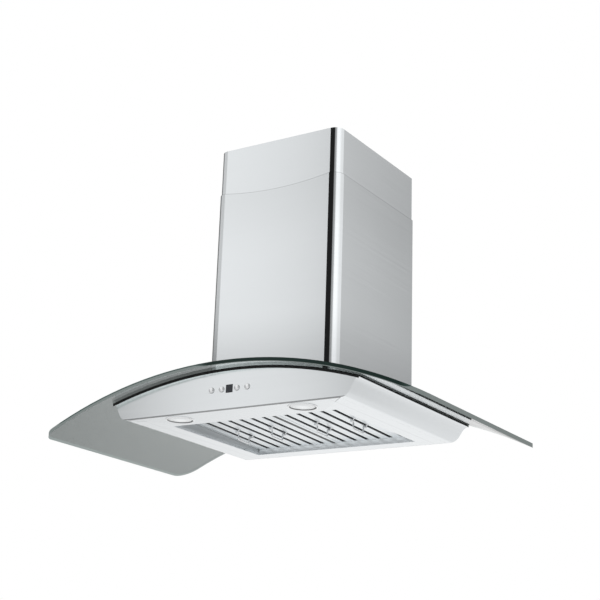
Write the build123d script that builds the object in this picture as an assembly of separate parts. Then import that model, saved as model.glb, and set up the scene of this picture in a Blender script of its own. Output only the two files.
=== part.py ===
from build123d import *
import math
import os

# Curved glass range hood, millimetres.
# X is the width seen from the front, +Y points to the wall and +Z up. The pieces
# are drawn with z = 0 on the underside of the hood and y = 0 on the wall, and
# are written with the origin at the centre of the four wall screws.

# Glass canopy: one bent sheet, cut square to the plan
glass_width = 900.0
glass_depth = 498.0
glass_wall_gap = 2.0
glass_thickness = 8.0
glass_sag = 110.0
glass_front_corner_radius = 20.0
glass_rear_corner_radius = 42.0
notch_clearance = 5.0
notch_corner_radius = 10.0

# Steel body under the glass
body_crown_height = 80.8
body_top_width = 586.0
body_bottom_width = 508.0
body_depth = 470.0
body_foot_setback = 24.0
ogee_foot_run = 0.68
ogee_top_run = 0.56
sheet = 1.2
body_edge_gap = 0.2
body_front_seam = 0.8
air_opening_width = 240.0
air_opening_depth = 250.0
air_opening_rear_gap = 20.0
air_opening_corner_radius = 10.0

# Rubber strip between the body and the glass
rubber_thickness = 3.2
rubber_width = 12.0

# Filter bay in the underside
bay_width = 396.0
bay_depth = 320.0
bay_rear_gap = 63.0
bay_slope_deg = 1.9
bay_rear_height = 12.0
bay_front_lip = 6.5
bay_wall_height = 40.0

# Baffle filters
filter_gap = 1.0
filter_side_gap = 0.7
filter_front_gap = 1.2
filter_rear_seat = 8.0
filter_height = 13.0
filter_seat_gap = 0.2
filter_travel = 8.0
filter_rear_clearance = 1.0
filter_roof_gap = 0.6
frame_sheet = 0.8
frame_flange = 11.0
slot_count = 6
slot_width = 9.0
slot_pitch = 28.6
baffle_sheet = 0.8
baffle_end_gap = 0.5
lower_lip_height = 7.2
upper_lip_height = 7.6
upper_baffle_width = 18.6

# Wire bail handles, hung under the second and the fifth slot
bail_slots = (1, 4)
bail_length = 44.0
bail_drop = 15.5
bail_setback = 150.0
bail_wire_radius = 1.5
bail_bend_radius = 3.4
bail_pin_length = 9.5
bail_pin_clearance = 0.08
bail_pivot_drop = 2.6
saddle_wall = 2.0
saddle_length = 4.5
saddle_end_gap = 0.4
saddle_foot_width = 16.0
saddle_foot_thickness = 1.0

# Round lights in the front strip of the underside
lamp_spacing = 294.0
lamp_setback = 40.0
lamp_bezel_radius = 30.0
lamp_bezel_thickness = 1.6
lamp_can_radius = 27.0
lamp_can_height = 30.0
lamp_can_wall = 1.0
lamp_hole_clearance = 0.3
lamp_lens_gap = 0.15
lamp_lens_thickness = 2.4
lamp_lens_bulge = 1.6
lamp_board_thickness = 1.6
lamp_board_height = 10.0
lamp_chip_side = 13.0
lamp_chip_thickness = 1.2

# Controls on the front panel
control_height = 41.5
button_offsets = (-42.6, -18.2, 18.2, 42.6)
button_radius = 5.8
button_hole_clearance = 0.4
button_stand_out = 2.0
button_travel = 1.2
button_rim = 1.5
button_rim_thickness = 1.0
button_rim_gap = 0.3
button_crown = 0.5
stem_radius = 2.4
stem_length = 5.6
tip_radius = 1.5
tip_length = 2.8
tip_insertion = 0.8
switch_side = 6.2
switch_depth = 5.0
switch_bore_end_gap = 1.2
switch_bore_clearance = 0.35
display_width = 16.6
display_height = 16.6
display_fit_gap = 0.2
display_rim = 1.4
display_rim_thickness = 1.0
control_box_width = 116.0
control_box_height = 31.0
control_box_wall = 2.0
control_box_back_gap = 5.4
board_thickness = 1.6
board_edge_gap = 0.4
post_radius = 2.2
post_inset = 6.0

# Blower chamber and back plate
chamber_width = 270.0
chamber_depth = 284.0
chamber_top_height = 290.0
chamber_sheet = 1.0
chamber_foot_flange = 12.0
chamber_seat_gap = 0.1
back_plate_thickness = 1.5
wall_hole_radius = 4.0
wall_hole_spacing_x = 210.0
wall_hole_spacing_z = 120.0
wall_hole_top_gap = 40.0
chamber_screw_radius = 2.0
chamber_screw_clearance = 0.1
chamber_screw_head_radius = 4.0
chamber_screw_head_height = 2.4
chamber_screw_length = 7.0
chamber_screw_seat_gap = 0.05
chamber_screw_setbacks = (60.0, 150.0, 240.0)

# Fan: scroll, wheel and motor on one axis along X
fan_setback = 184.0
fan_height = 180.0
scroll_width = 120.0
scroll_start_radius = 64.0
scroll_end_radius = 96.0
scroll_start_deg = 60.0
scroll_sheet = 1.2
scroll_flange = 8.0
inlet_hole_radius = 50.0
inlet_ring_width = 8.0
inlet_throat_radius = 46.0
inlet_throat_depth = 3.6
inlet_sheet = 1.0
wheel_radius = 60.0
wheel_width = 108.0
blade_count = 36
blade_chord = 13.0
blade_lean = 4.0
blade_camber = 2.4
blade_thickness = 1.2
wheel_ring_thickness = 2.0
wheel_disc_thickness = 2.0
wheel_hub_radius = 11.0
wheel_hub_length = 16.0
shaft_radius = 4.0
shaft_clearance = 0.05
shaft_end_length = 16.0
shaft_nut_width = 13.0
shaft_nut_length = 6.0
motor_radius = 34.0
motor_gap = 10.0
motor_bearing_depth = 12.0
motor_rim = 3.0
arm_count = 3
arm_width = 12.0
arm_thickness = 2.0
arm_reach = 68.0
arm_pad_length = 9.0

# Round duct outlet with its backdraft flaps
collar_radius = 74.6
collar_sheet = 1.2
collar_height = 46.0
collar_flange = 17.0
collar_flange_sheet = 1.2
flap_stop_height = 20.0
flap_stop_width = 6.4
flap_edge_gap = 1.4
flap_sheet = 1.0
flap_seat_gap = 0.2
knuckle_wall = 1.4
knuckle_gap = 2.0
flap_inner_gap = 0.8
flap_pin_radius = 2.0
flap_pin_clearance = 0.05
flap_pin_end_gap = 0.3

# Wiring box, its gland and the capacitor
wiring_box_width = 100.0
wiring_box_depth = 50.0
wiring_box_height = 34.0
wiring_box_wall = 2.0
wiring_box_corner_gap = 8.0
wiring_lid_thickness = 2.0
terminal_pitch = 12.0
terminal_count = 4
terminal_depth = 20.0
terminal_height = 14.0
terminal_edge_gap = 6.0
gland_radius = 6.0
gland_edge_gap = 20.0
gland_sleeve_radius = 8.0
gland_cap_height = 2.0
gland_nut_width = 18.0
gland_nut_length = 6.0
gland_length = 22.0
gland_bore_radius = 3.6
capacitor_radius = 17.5
capacitor_height = 52.0
capacitor_setback = 52.5
capacitor_rise = 17.5
capacitor_rim = 2.0
clip_sheet = 1.0
clip_height = 14.0
clip_reach = 12.0

# Chimney covers
chimney_width = 312.0
chimney_depth = 334.0
chimney_corner_radius = 23.0
lower_chimney_top = 527.0
upper_chimney_top = 630.0
upper_chimney_length = 390.0
chimney_dip = 11.0
chimney_play = 0.8
chimney_return = 20.0
chimney_seat_gap = 0.3
return_play = 0.4
bracket_sheet = 1.5
bracket_height = 32.0
bracket_top_gap = 8.0
bracket_clearance = 2.0
bracket_hole_radius = 3.0
bracket_hole_spacing = 120.0
bracket_tab_gap = 0.1
bracket_screw_radius = 2.0
bracket_screw_head_radius = 3.8
bracket_screw_head_height = 2.0

# Screws that clamp the glass to the body
glass_screw_spacing = 430.0
glass_screw_setbacks = (120.0, 400.0)
glass_screw_radius = 2.5
glass_screw_clearance = 0.2
glass_hole_radius = 4.2
glass_screw_head_radius = 6.0
glass_screw_head_height = 3.0
top_washer_radius = 7.5
top_washer_thickness = 1.5
spacer_radius = 9.0
glass_nut_width = 8.0
glass_nut_height = 3.2
glass_screw_tail = 2.0
rubber_seat_gap = 0.05

# Worked out from the sizes above
glass_crown = body_crown_height + rubber_thickness + glass_thickness
glass_radius = ((glass_width / 2) ** 2 + glass_sag ** 2) / (2 * glass_sag)
arch_centre = glass_crown - glass_radius
body_radius = glass_radius - glass_thickness - rubber_thickness
front = -body_depth
wall_hole_centre = chamber_top_height - wall_hole_top_gap - wall_hole_spacing_z / 2
chamber_front = -back_plate_thickness - chamber_depth
bay_rear = -bay_rear_gap
bay_front = bay_rear - bay_depth
filter_width = (bay_width - filter_gap) / 2 - filter_side_gap
filter_depth = bay_depth + filter_rear_seat - filter_front_gap
upper_play = sheet + chimney_play
bay_rear_pocket = filter_rear_seat + filter_travel + filter_rear_clearance
switch_bore_depth = tip_insertion + button_travel + switch_bore_end_gap


def box(x0, x1, y0, y1, z0, z1):
    """A block between two corners."""
    middle = Pos((x0 + x1) / 2, (y0 + y1) / 2, (z0 + z1) / 2)
    return middle * Box(x1 - x0, y1 - y0, z1 - z0)


def along_x(face, x0, x1):
    """An outline drawn in Y and Z, drawn out from x0 to x1."""
    return extrude(Plane.YZ.offset(x0) * face, amount=x1 - x0)


def along_y(face, y_rear, y_front):
    """An outline drawn in X and Z, drawn out from y_rear forward to y_front."""
    return extrude(Plane.XZ.offset(-y_rear) * face, amount=y_rear - y_front)


def along_z(face, z0, z1):
    """An outline drawn in X and Y, drawn out from z0 to z1."""
    return extrude(Plane.XY.offset(z0) * face, amount=z1 - z0)


def rod_x(radius, x0, x1):
    """A round bar along X, centred on the X axis."""
    return along_x(Circle(radius), x0, x1)


def rod_y(radius, y_rear, y_front):
    """A round bar along Y, centred on the Y axis."""
    return along_y(Circle(radius), y_rear, y_front)


def rod_z(radius, z0, z1):
    """A round bar along Z, centred on the Z axis."""
    return along_z(Circle(radius), z0, z1)


def hexagon_z(width, z0, z1):
    """A hexagonal bar along Z with the given width across its flats."""
    return along_z(RegularPolygon(width / 2, 6, major_radius=False), z0, z1)


def arch_height(x, radius):
    """Height at x of the arch of this radius about the canopy's axis."""
    return arch_centre + math.sqrt(radius ** 2 - x ** 2)


def arch_solid(radius, y_rear, y_front):
    """Everything under the arch of this radius, between two depths."""
    return along_y(Pos(0, arch_centre) * Circle(radius), y_rear, y_front)


def arch_sheet(radius, thickness, y_rear, y_front):
    """A full bent sheet under the arch of this radius."""
    ring = Circle(radius) - Circle(radius - thickness)
    return along_y(Pos(0, arch_centre) * ring, y_rear, y_front)


def on_arch(x, y, radius):
    """A place on an arch, square to the sheet and over x of the body's top."""
    lean = math.degrees(math.asin(x / body_radius))
    return Pos(0, y, arch_centre) * Rot(0, lean, 0) * Pos(0, 0, radius)


def rounded_rect(x0, x1, y0, y1, radius):
    """A rectangle in plan with four rounded corners."""
    return Pos((x0 + x1) / 2, (y0 + y1) / 2) * RectangleRounded(x1 - x0, y1 - y0, radius)


def glass_screw_places(radius):
    """The four clamp screws of the glass, on the arch of this radius."""
    half = glass_screw_spacing / 2
    return [on_arch(x, -y, radius) for y in glass_screw_setbacks for x in (-half, half)]


def chamber_screw_places(radius):
    """The six screws in the foot flange of the blower chamber."""
    half = chamber_width / 2 - chamber_sheet - chamber_foot_flange / 2
    return [on_arch(x, -y, radius) for y in chamber_screw_setbacks for x in (-half, half)]


# Glass and rubber

def glass_canopy():
    """The bent sheet, rounded in plan, with a notch for the blower chamber."""
    rear = -glass_wall_gap
    plan = Pos(0, rear - glass_depth / 2) * Rectangle(glass_width, glass_depth)
    plan = fillet(plan.vertices().group_by(Axis.Y)[-1], glass_rear_corner_radius)
    plan = fillet(plan.vertices().group_by(Axis.Y)[0], glass_front_corner_radius)
    notch_half = chamber_width / 2 + notch_clearance
    notch_front = chamber_front - notch_clearance
    notch = rounded_rect(-notch_half, notch_half, notch_front, notch_corner_radius * 2,
                         notch_corner_radius)
    low = glass_crown - glass_sag - 2 * glass_thickness
    canopy = arch_sheet(glass_radius, glass_thickness, rear + 1, rear - glass_depth - 1)
    canopy &= along_z(plan - notch, low, glass_crown + 1)
    for place in glass_screw_places(glass_radius):
        canopy -= place * rod_z(glass_hole_radius, -2 * glass_thickness, glass_thickness)
    return canopy


def rubber_strip():
    """The black strip along the front and side edges of the body's top."""
    half = body_top_width / 2
    outline = box(-half, half, front, -glass_wall_gap, 0, glass_crown)
    inside = box(-half + rubber_width, half - rubber_width, front + rubber_width, 1,
                 0, glass_crown)
    height = rubber_thickness - rubber_seat_gap
    layer = arch_sheet(body_radius + height, height, 0, front)
    return layer & (outline - inside)


# Steel body

def ogee(start, run, rise, inset):
    """An S curve, flat at the foot and at the top, kept an inset inside."""
    x, z = start
    low, high = z + inset, z + rise + inset
    side = math.copysign(inset, run)
    return Bezier((x, low), (x + ogee_foot_run * run - side, low),
                  (x + ogee_top_run * run - side, high), (x + run - side, high))


def body_section(inset):
    """The body's foot and ogee sides seen from the front, open upward."""
    half_top = body_top_width / 2
    half_foot = body_bottom_width / 2
    rise = arch_height(half_top, body_radius)
    high = body_crown_height + 10
    right = ogee((half_foot, 0), half_top - half_foot, rise, inset)
    left = ogee((-half_foot, 0), half_foot - half_top, rise, inset)
    foot = Line(left @ 0, right @ 0)
    walls = Polyline(right @ 1, ((right @ 1).X, high), ((left @ 1).X, high), left @ 1)
    return make_face(Curve() + [foot, right, walls, left])


def body_side(inset):
    """The body seen from the side: upright front, ogee foot at the wall."""
    rise = arch_height(body_top_width / 2, body_radius)
    high = body_crown_height + 10
    rear = ogee((-body_foot_setback, 0), body_foot_setback, rise, inset)
    foot = Line((front + inset, inset), rear @ 0)
    rest = Polyline(rear @ 1, (-inset, high), (front + inset, high), foot @ 0)
    return make_face(Curve() + [foot, rear, rest])


def body_block(inset):
    """The body as a full block, pulled in by the inset on every side."""
    half = body_top_width / 2 + 10
    block = along_y(body_section(inset), 10, front - 10)
    block &= along_x(body_side(inset), -half, half)
    return block & arch_solid(body_radius - inset, 20, front - 20)


def body_foot_opening(gap):
    """Plan limits of the opening in the body's foot, pulled in by a gap."""
    half = body_bottom_width / 2 - sheet - gap
    return (-half, half, front + sheet + gap, -body_foot_setback - sheet - gap)


def body_shell():
    """The wrap of the body: front panel, ogee sides, back and arched top."""
    shell = body_block(0) - body_block(sheet)
    shell -= box(*body_foot_opening(0), -sheet, 2 * sheet)
    opening_rear = -air_opening_rear_gap
    opening = rounded_rect(-air_opening_width / 2, air_opening_width / 2,
                           opening_rear - air_opening_depth, opening_rear,
                           air_opening_corner_radius)
    shell -= along_z(opening, body_crown_height / 2, body_crown_height + 1)
    for offset_x in button_offsets:
        hole = rod_y(button_radius + button_hole_clearance, front + 5, front - 5)
        shell -= Pos(offset_x, 0, control_height) * hole
    shell -= Pos(0, front, control_height) * Box(display_width, 10, display_height)
    for place in glass_screw_places(body_radius):
        shell -= place * rod_z(glass_screw_radius + glass_screw_clearance, -5, 5)
    for place in chamber_screw_places(body_radius):
        shell -= place * rod_z(chamber_screw_radius + chamber_screw_clearance, -5, 5)
    return shell


# Filter bay and underside

def bay_place():
    """The seat of the filters: rear edge at its height, rising to the front."""
    return Pos(0, bay_rear + filter_rear_seat, bay_rear_height) * Rot(-bay_slope_deg, 0, 0)


def underside_panel():
    """The flat flange of the underside with the walls and ledges of the bay."""
    half = bay_width / 2
    x0, x1, y0, y1 = body_foot_opening(body_edge_gap)
    panel = box(x0, x1, y0 + body_front_seam, y1, 0, sheet)
    walls = box(-half - sheet, half + sheet, bay_front - sheet, bay_rear + sheet,
                0, bay_wall_height)
    roof = filter_height + filter_seat_gap + filter_roof_gap
    pocket = box(-half - sheet, half + sheet, -filter_rear_seat, bay_rear_pocket
                 - filter_rear_seat + sheet, -sheet, roof + sheet)
    pocket_room = box(-half, half, -filter_depth / 2, bay_rear_pocket - filter_rear_seat,
                      0, roof)
    lip = box(-half - sheet / 2, half + sheet / 2, -filter_depth - filter_front_gap - sheet / 2,
              bay_front_lip - filter_depth - filter_front_gap, -sheet, 0)
    low_bay = box(-half, half, bay_front, bay_rear, -1, bay_wall_height + 1)
    panel += walls
    panel += bay_place() * pocket
    panel -= low_bay
    panel -= bay_place() * pocket_room
    panel += bay_place() * lip
    panel -= box(x0, x1, y0, y1, -bay_wall_height, 0)
    for side in (-1, 1):
        hole = rod_z(lamp_can_radius + lamp_hole_clearance, -1, sheet + 1)
        panel -= Pos(side * lamp_spacing / 2, front + lamp_setback, 0) * hole
    return panel


# Baffle filters

def filter_place(side):
    """Middle of a filter's rear edge on its seat; side is -1 or 1."""
    centre = side * (filter_gap + filter_width) / 2
    return bay_place() * Pos(centre, 0, filter_seat_gap)


def slot_centre(index):
    """X of a slot from the middle of its filter."""
    return (index - (slot_count - 1) / 2) * slot_pitch


def filter_frame():
    """The rim of a filter: a channel all round, open to the inside."""
    half = filter_width / 2
    rim = box(-half, half, -filter_depth, 0, 0, filter_height)
    rim -= box(-half + frame_flange, half - frame_flange, -filter_depth + frame_flange,
               -frame_flange, -1, filter_height + 1)
    rim -= box(-half + frame_sheet, half - frame_sheet, -filter_depth + frame_sheet,
               -frame_sheet, frame_sheet, filter_height - frame_sheet)
    return rim


def channel(width, lip, sheet_metal, length):
    """A bent channel along Y, open upward, standing on z = 0."""
    half = width / 2
    outer = box(-half, half, -length, 0, 0, lip)
    inner = box(-half + sheet_metal, half - sheet_metal, -length - 1, 1, sheet_metal, lip + 1)
    return outer - inner


def filter_baffles():
    """Lower channels between the slots and upper channels over the slots."""
    run = filter_depth - 2 * (frame_sheet + baffle_end_gap)
    start = -frame_sheet - baffle_end_gap
    pieces = []
    for index in range(slot_count + 1):
        centre = slot_centre(index - 0.5)
        lower = channel(slot_pitch - slot_width, lower_lip_height, baffle_sheet, run)
        pieces.append(Pos(centre, start, frame_sheet) * lower)
    for index in range(slot_count):
        upper = channel(upper_baffle_width, upper_lip_height, baffle_sheet, run)
        top = Pos(slot_centre(index), start - run, filter_height - frame_sheet)
        pieces.append(top * Rot(180, 0, 0) * upper)
    return pieces


def bail_pivots():
    """Place of each bail's pivot line in its filter: middle of the bail."""
    height = frame_sheet - bail_pivot_drop - bail_wire_radius
    return [Pos(slot_centre(index), -bail_setback, height) for index in bail_slots]


def bail():
    """A wire loop hanging from two turned-out ends along Y."""
    half = bail_length / 2 - bail_wire_radius
    end = half + bail_pin_length
    low = -bail_drop
    path = FilletPolyline((0, end, 0), (0, half, 0), (0, half, low), (0, -half, low),
                          (0, -half, 0), (0, -end, 0), radius=bail_bend_radius)
    start = Plane(origin=(0, end, 0), z_dir=(0, -1, 0))
    return sweep(start * Circle(bail_wire_radius), path=path)


def saddle():
    """A small strap that carries one end of a bail, its feet on the baffles."""
    radius = bail_wire_radius + bail_pin_clearance + saddle_wall
    top = bail_pivot_drop + bail_wire_radius
    half = saddle_length / 2
    strap = rod_y(radius, half, -half) + box(-radius, radius, -half, half, 0, top)
    strap += box(-saddle_foot_width / 2, saddle_foot_width / 2, -half, half,
                 top - saddle_foot_thickness, top)
    return strap - rod_y(bail_wire_radius + bail_pin_clearance, half + 1, -half - 1)


def bail_saddles():
    """The four saddles of one filter, a pair for each bail."""
    pin_end = bail_length / 2 - bail_wire_radius + bail_pin_length
    reach = pin_end - saddle_length / 2 - saddle_end_gap
    return [pivot * Pos(0, end * reach, 0) * saddle()
            for pivot in bail_pivots() for end in (-1, 1)]


# Lights

def lamp_place(side):
    """Centre of a light on the face of the underside."""
    return Pos(side * lamp_spacing / 2, front + lamp_setback, 0)


def lamp_housing():
    """The can of a light with its bezel, open below."""
    can = rod_z(lamp_can_radius, 0, lamp_can_height)
    can += rod_z(lamp_bezel_radius, -lamp_bezel_thickness, 0)
    rim = can.edges().filter_by(GeomType.CIRCLE).group_by(Axis.Z)[0]
    can = chamfer(rim, lamp_bezel_thickness * 0.6)
    return can - rod_z(lamp_can_radius - lamp_can_wall, -5, lamp_can_height - lamp_can_wall)


def lamp_lens():
    """A frosted lens, bulging a little out of the bezel."""
    radius = lamp_can_radius - lamp_can_wall - lamp_lens_gap
    sphere = (radius ** 2 + lamp_lens_bulge ** 2) / (2 * lamp_lens_bulge)
    disc = rod_z(radius, -lamp_lens_bulge, lamp_lens_thickness)
    return disc & (Pos(0, 0, sphere - lamp_lens_bulge) * Sphere(sphere))


def lamp_board():
    """The round board of a light with its square emitter on the lower face."""
    radius = lamp_can_radius - lamp_can_wall - lamp_lens_gap
    low = lamp_board_height
    board = rod_z(radius, low, low + lamp_board_thickness)
    half = lamp_chip_side / 2
    return board + box(-half, half, -half, half, low - lamp_chip_thickness, low)


# Controls

def button():
    """A round key with its rim, stem and tip; y = 0 is the panel's outer face."""
    rim_front = sheet + button_rim_gap
    rim_rear = rim_front + button_rim_thickness
    key = rod_y(button_radius, rim_front, -button_stand_out)
    face = key.edges().filter_by(GeomType.CIRCLE).group_by(Axis.Y)[0]
    key = fillet(face, button_crown)
    key += rod_y(button_radius + button_rim, rim_rear, rim_front)
    key += rod_y(stem_radius, rim_rear + stem_length, rim_rear)
    return key + rod_y(tip_radius, rim_rear + stem_length + tip_length, rim_rear + stem_length)


def switch_front():
    """Y of the switches' front faces, from the panel's outer face."""
    rim_rear = sheet + button_rim_gap + button_rim_thickness
    return rim_rear + stem_length + tip_length - tip_insertion


def switches():
    """The four small switches that the keys press."""
    pieces = []
    for offset_x in button_offsets:
        body = box(-switch_side / 2, switch_side / 2, 0, switch_depth,
                   -switch_side / 2, switch_side / 2)
        body -= rod_y(tip_radius + switch_bore_clearance, switch_bore_depth, -1)
        pieces.append(Pos(offset_x, front + switch_front(), control_height) * body)
    return pieces


def board_limits():
    """Front and rear faces of the control board."""
    board_front = front + switch_front() + switch_depth
    return board_front, board_front + board_thickness


def control_board():
    """The circuit board behind the keys."""
    half = control_box_width / 2 - control_box_wall - board_edge_gap
    tall = control_box_height / 2 - control_box_wall - board_edge_gap
    y0, y1 = board_limits()
    return box(-half, half, y0, y1, control_height - tall, control_height + tall)


def control_box():
    """The plastic tray that holds the board against the panel, with its posts."""
    half = control_box_width / 2
    tall = control_box_height / 2
    wall = control_box_wall
    y0 = front + sheet
    floor = board_limits()[1] + control_box_back_gap
    tray = box(-half, half, y0, floor + wall, -tall, tall)
    tray -= box(-half + wall, half - wall, y0 - 1, floor, -tall + wall, tall - wall)
    for x in (post_inset - half, half - post_inset):
        for z in (post_inset - tall, tall - post_inset):
            tray += Pos(x, 0, z) * rod_y(post_radius, floor, board_limits()[1])
    return Pos(0, 0, control_height) * tray


def display_window():
    """The dark window, flush in the panel, with a rim behind the sheet."""
    gap = display_fit_gap
    x = display_width / 2
    z = display_height / 2
    pane = box(-x + gap, x - gap, 0, sheet, -z + gap, z - gap)
    pane += box(-x - display_rim, x + display_rim, sheet, sheet + display_rim_thickness,
                -z - display_rim, z + display_rim)
    return Pos(0, front, control_height) * pane


def display_module():
    """The digit module between the board and the window."""
    x = display_width / 2
    z = display_height / 2
    y0 = front + sheet + display_rim_thickness
    return box(-x, x, y0, board_limits()[0], control_height - z, control_height + z)


# Blower chamber

def blower_chamber():
    """A steel box on the body, open to the wall and below, with a foot flange."""
    half = chamber_width / 2
    low = arch_height(half, body_radius) - 5
    rear = -back_plate_thickness
    wall = chamber_sheet
    seat = body_radius + chamber_seat_gap
    outer = box(-half, half, chamber_front, rear, low, chamber_top_height)
    inner = box(-half + wall, half - wall, chamber_front + wall, rear + 1, low - 1,
                chamber_top_height - wall)
    flange = chamber_foot_flange
    hollow = box(-half + wall + flange, half - wall - flange,
                 chamber_front + wall + flange, rear + 1, low - 1, chamber_top_height)
    foot = (outer - hollow) & arch_sheet(seat + wall, wall, 0, chamber_front - 1)
    chamber = (outer - inner) - arch_solid(seat, 1, chamber_front - 1)
    chamber += foot
    duct = Pos(0, collar_y(), 0) * rod_z(collar_radius - collar_sheet,
                                          chamber_top_height - 5, chamber_top_height + 5)
    chamber -= duct
    for place in chamber_screw_places(seat):
        chamber -= place * rod_z(chamber_screw_radius + chamber_screw_clearance, -5, 5)
    return chamber


def back_plate():
    """The plate by which the hood hangs, with four wall screw holes."""
    half = chamber_width / 2
    low = arch_height(half, body_radius) - 5
    plate = box(-half, half, -back_plate_thickness, 0, low, chamber_top_height)
    plate -= arch_solid(body_radius + chamber_seat_gap, 1, -5)
    for x in (-1, 1):
        for z in (-1, 1):
            place = Pos(x * wall_hole_spacing_x / 2, 0,
                        wall_hole_centre + z * wall_hole_spacing_z / 2)
            plate -= place * rod_y(wall_hole_radius, 5, -5)
    return plate


def chamber_screws():
    """Pan-head screws through the foot flange and the body's top."""
    seat = body_radius + chamber_seat_gap + chamber_sheet
    screw = rod_z(chamber_screw_radius, -chamber_screw_length, chamber_screw_head_height)
    screw += rod_z(chamber_screw_head_radius, chamber_screw_seat_gap, chamber_screw_head_height)
    return [place * screw for place in chamber_screw_places(seat)]


# Fan

def scroll_tongue():
    """Y of the scroll's tongue, from the fan's axis."""
    return scroll_start_radius * math.cos(math.radians(scroll_start_deg))


def scroll_top():
    """Height of the scroll's outlet over the fan's axis."""
    return chamber_top_height - chamber_sheet - fan_height


def scroll_outline(inset):
    """The spiral of the scroll in Y and Z about the fan's axis, with its outlet."""
    steps = 10

    def spiral(step):
        angle = math.radians(scroll_start_deg + (360 - scroll_start_deg) * step / steps)
        grow = (scroll_end_radius - scroll_start_radius) * step / steps
        radius = scroll_start_radius + grow - inset
        return (radius * math.cos(angle), radius * math.sin(angle))

    start = math.radians(scroll_start_deg)
    curve = Spline(*[spiral(step) for step in range(steps + 1)],
                   tangents=[(-math.sin(start), math.cos(start)), (0, 1)])
    tongue = scroll_tongue() + inset
    wall = scroll_end_radius - inset
    outlet = Pos((tongue + wall) / 2, scroll_top() / 2) * Rectangle(wall - tongue, scroll_top())
    return make_face(curve + Line(curve @ 1, curve @ 0)) + outlet


def fan_place():
    """The fan's axis, at the middle of the wheel."""
    return Pos(0, -fan_setback, fan_height)


def collar_y():
    """The duct outlet stands over the middle of the scroll's outlet."""
    return -fan_setback + (scroll_tongue() + scroll_end_radius) / 2


def scroll_housing():
    """The spiral casing with round inlets in both sides and a top flange."""
    half = scroll_width / 2
    casing = along_x(scroll_outline(0), -half, half)
    casing -= along_x(scroll_outline(scroll_sheet), -half + scroll_sheet, half - scroll_sheet)
    casing -= rod_x(inlet_hole_radius, -half - 1, half + 1)
    top = scroll_top()
    casing += box(-half - scroll_flange, half + scroll_flange, scroll_tongue() - scroll_flange,
                  scroll_end_radius + scroll_flange, top - scroll_sheet, top)
    casing -= box(-half + scroll_sheet, half - scroll_sheet, scroll_tongue() + scroll_sheet,
                  scroll_end_radius - scroll_sheet, top - 5, top + 1)
    return fan_place() * casing


def inlet_ring():
    """A bell mouth round the axis: flange outside, curved throat inside."""
    width = inlet_ring_width
    outer = inlet_hole_radius + width
    throat = inlet_throat_radius
    depth = inlet_throat_depth
    sheet_metal = inlet_sheet
    outline = make_face(Curve() + [
        Line((0, outer), (sheet_metal, outer)),
        Line((sheet_metal, outer), (sheet_metal, throat + depth)),
        TangentArc((sheet_metal, throat + depth), (sheet_metal - depth, throat),
                   tangent=(0, -1)),
        Line((sheet_metal - depth, throat), (sheet_metal - depth, throat + sheet_metal)),
        TangentArc((sheet_metal - depth, throat + sheet_metal), (0, throat + depth),
                   tangent=(1, 0)),
        Line((0, throat + depth), (0, outer)),
    ])
    return revolve(outline, axis=Axis.X)


def inlet_rings():
    """The bell mouths on both sides of the scroll."""
    ring = Pos(scroll_width / 2, 0, 0) * inlet_ring()
    return [fan_place() * ring, fan_place() * Rot(0, 0, 180) * ring]


def blade():
    """One forward-curved blade at the top of the wheel, in Y and Z."""
    outer = wheel_radius - blade_thickness / 2
    inner = outer - blade_chord
    middle = (blade_lean / 2 - blade_camber, (outer + inner) / 2)
    spine = ThreePointArc((blade_lean, outer), middle, (0, inner))
    return trace(spine, blade_thickness)


def impeller():
    """The squirrel cage: blades between two end rings on a centre disc."""
    half = wheel_width / 2
    inner = wheel_radius - blade_chord - blade_thickness
    strip = along_x(blade(), -half, half)
    cage = rod_x(wheel_radius, -wheel_disc_thickness / 2, wheel_disc_thickness / 2)
    cage += rod_x(wheel_hub_radius, -wheel_hub_length / 2, wheel_hub_length / 2)
    cage += [Rot(360 * index / blade_count, 0, 0) * strip for index in range(blade_count)]
    ring = rod_x(wheel_radius + blade_thickness, -half, -half + wheel_ring_thickness)
    ring -= rod_x(inner, -half - 1, half)
    cage += ring
    cage += Pos(wheel_width - wheel_ring_thickness, 0, 0) * ring
    cage -= rod_x(shaft_radius, -half, half)
    return fan_place() * cage


def motor_shaft():
    """The shaft from its nut on the left to the bearing in the motor."""
    left = -wheel_hub_length / 2 - shaft_end_length
    right = motor_gap + motor_bearing_depth
    return fan_place() * rod_x(shaft_radius, left, right)


def shaft_nut():
    """The nut that holds the wheel on its shaft."""
    left = -wheel_hub_length / 2
    nut = Rot(0, -90, 0) * hexagon_z(shaft_nut_width, 0, shaft_nut_length)
    nut = Pos(left, 0, 0) * nut
    return fan_place() * (nut - rod_x(shaft_radius, left - 20, left + 20))


def motor():
    """The motor, partly inside the wheel, with its bearing bore."""
    right = scroll_width / 2 + inlet_sheet
    can = rod_x(motor_radius, motor_gap, right)
    ends = can.edges().filter_by(GeomType.CIRCLE)
    can = fillet(ends, motor_rim)
    can += rod_x(motor_radius / 2, right - motor_rim, right)
    bore = rod_x(shaft_radius + shaft_clearance, motor_gap - 1,
                 motor_gap + motor_bearing_depth + 1)
    return fan_place() * (can - bore)


def motor_bracket():
    """A plate with three arms that carries the motor on the scroll's side."""
    seat = scroll_width / 2
    inner = seat + inlet_sheet
    outer = inner + arm_thickness
    plate = rod_x(motor_radius - motor_rim, inner, outer)
    arm = box(inner, outer, 0, arm_reach, -arm_width / 2, arm_width / 2)
    arm += box(seat, outer, arm_reach - arm_pad_length, arm_reach, -arm_width / 2,
               arm_width / 2)
    for index in range(arm_count):
        plate += Rot(360 * index / arm_count + 30, 0, 0) * arm
    return fan_place() * plate


# Duct outlet

def collar_place():
    """Centre of the duct outlet on the top of the chamber."""
    return Pos(0, collar_y(), chamber_top_height)


def flap_height():
    """Height of the flaps' hinge line above the chamber's top."""
    return flap_stop_height + flap_seat_gap + knuckle_radius()


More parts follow.
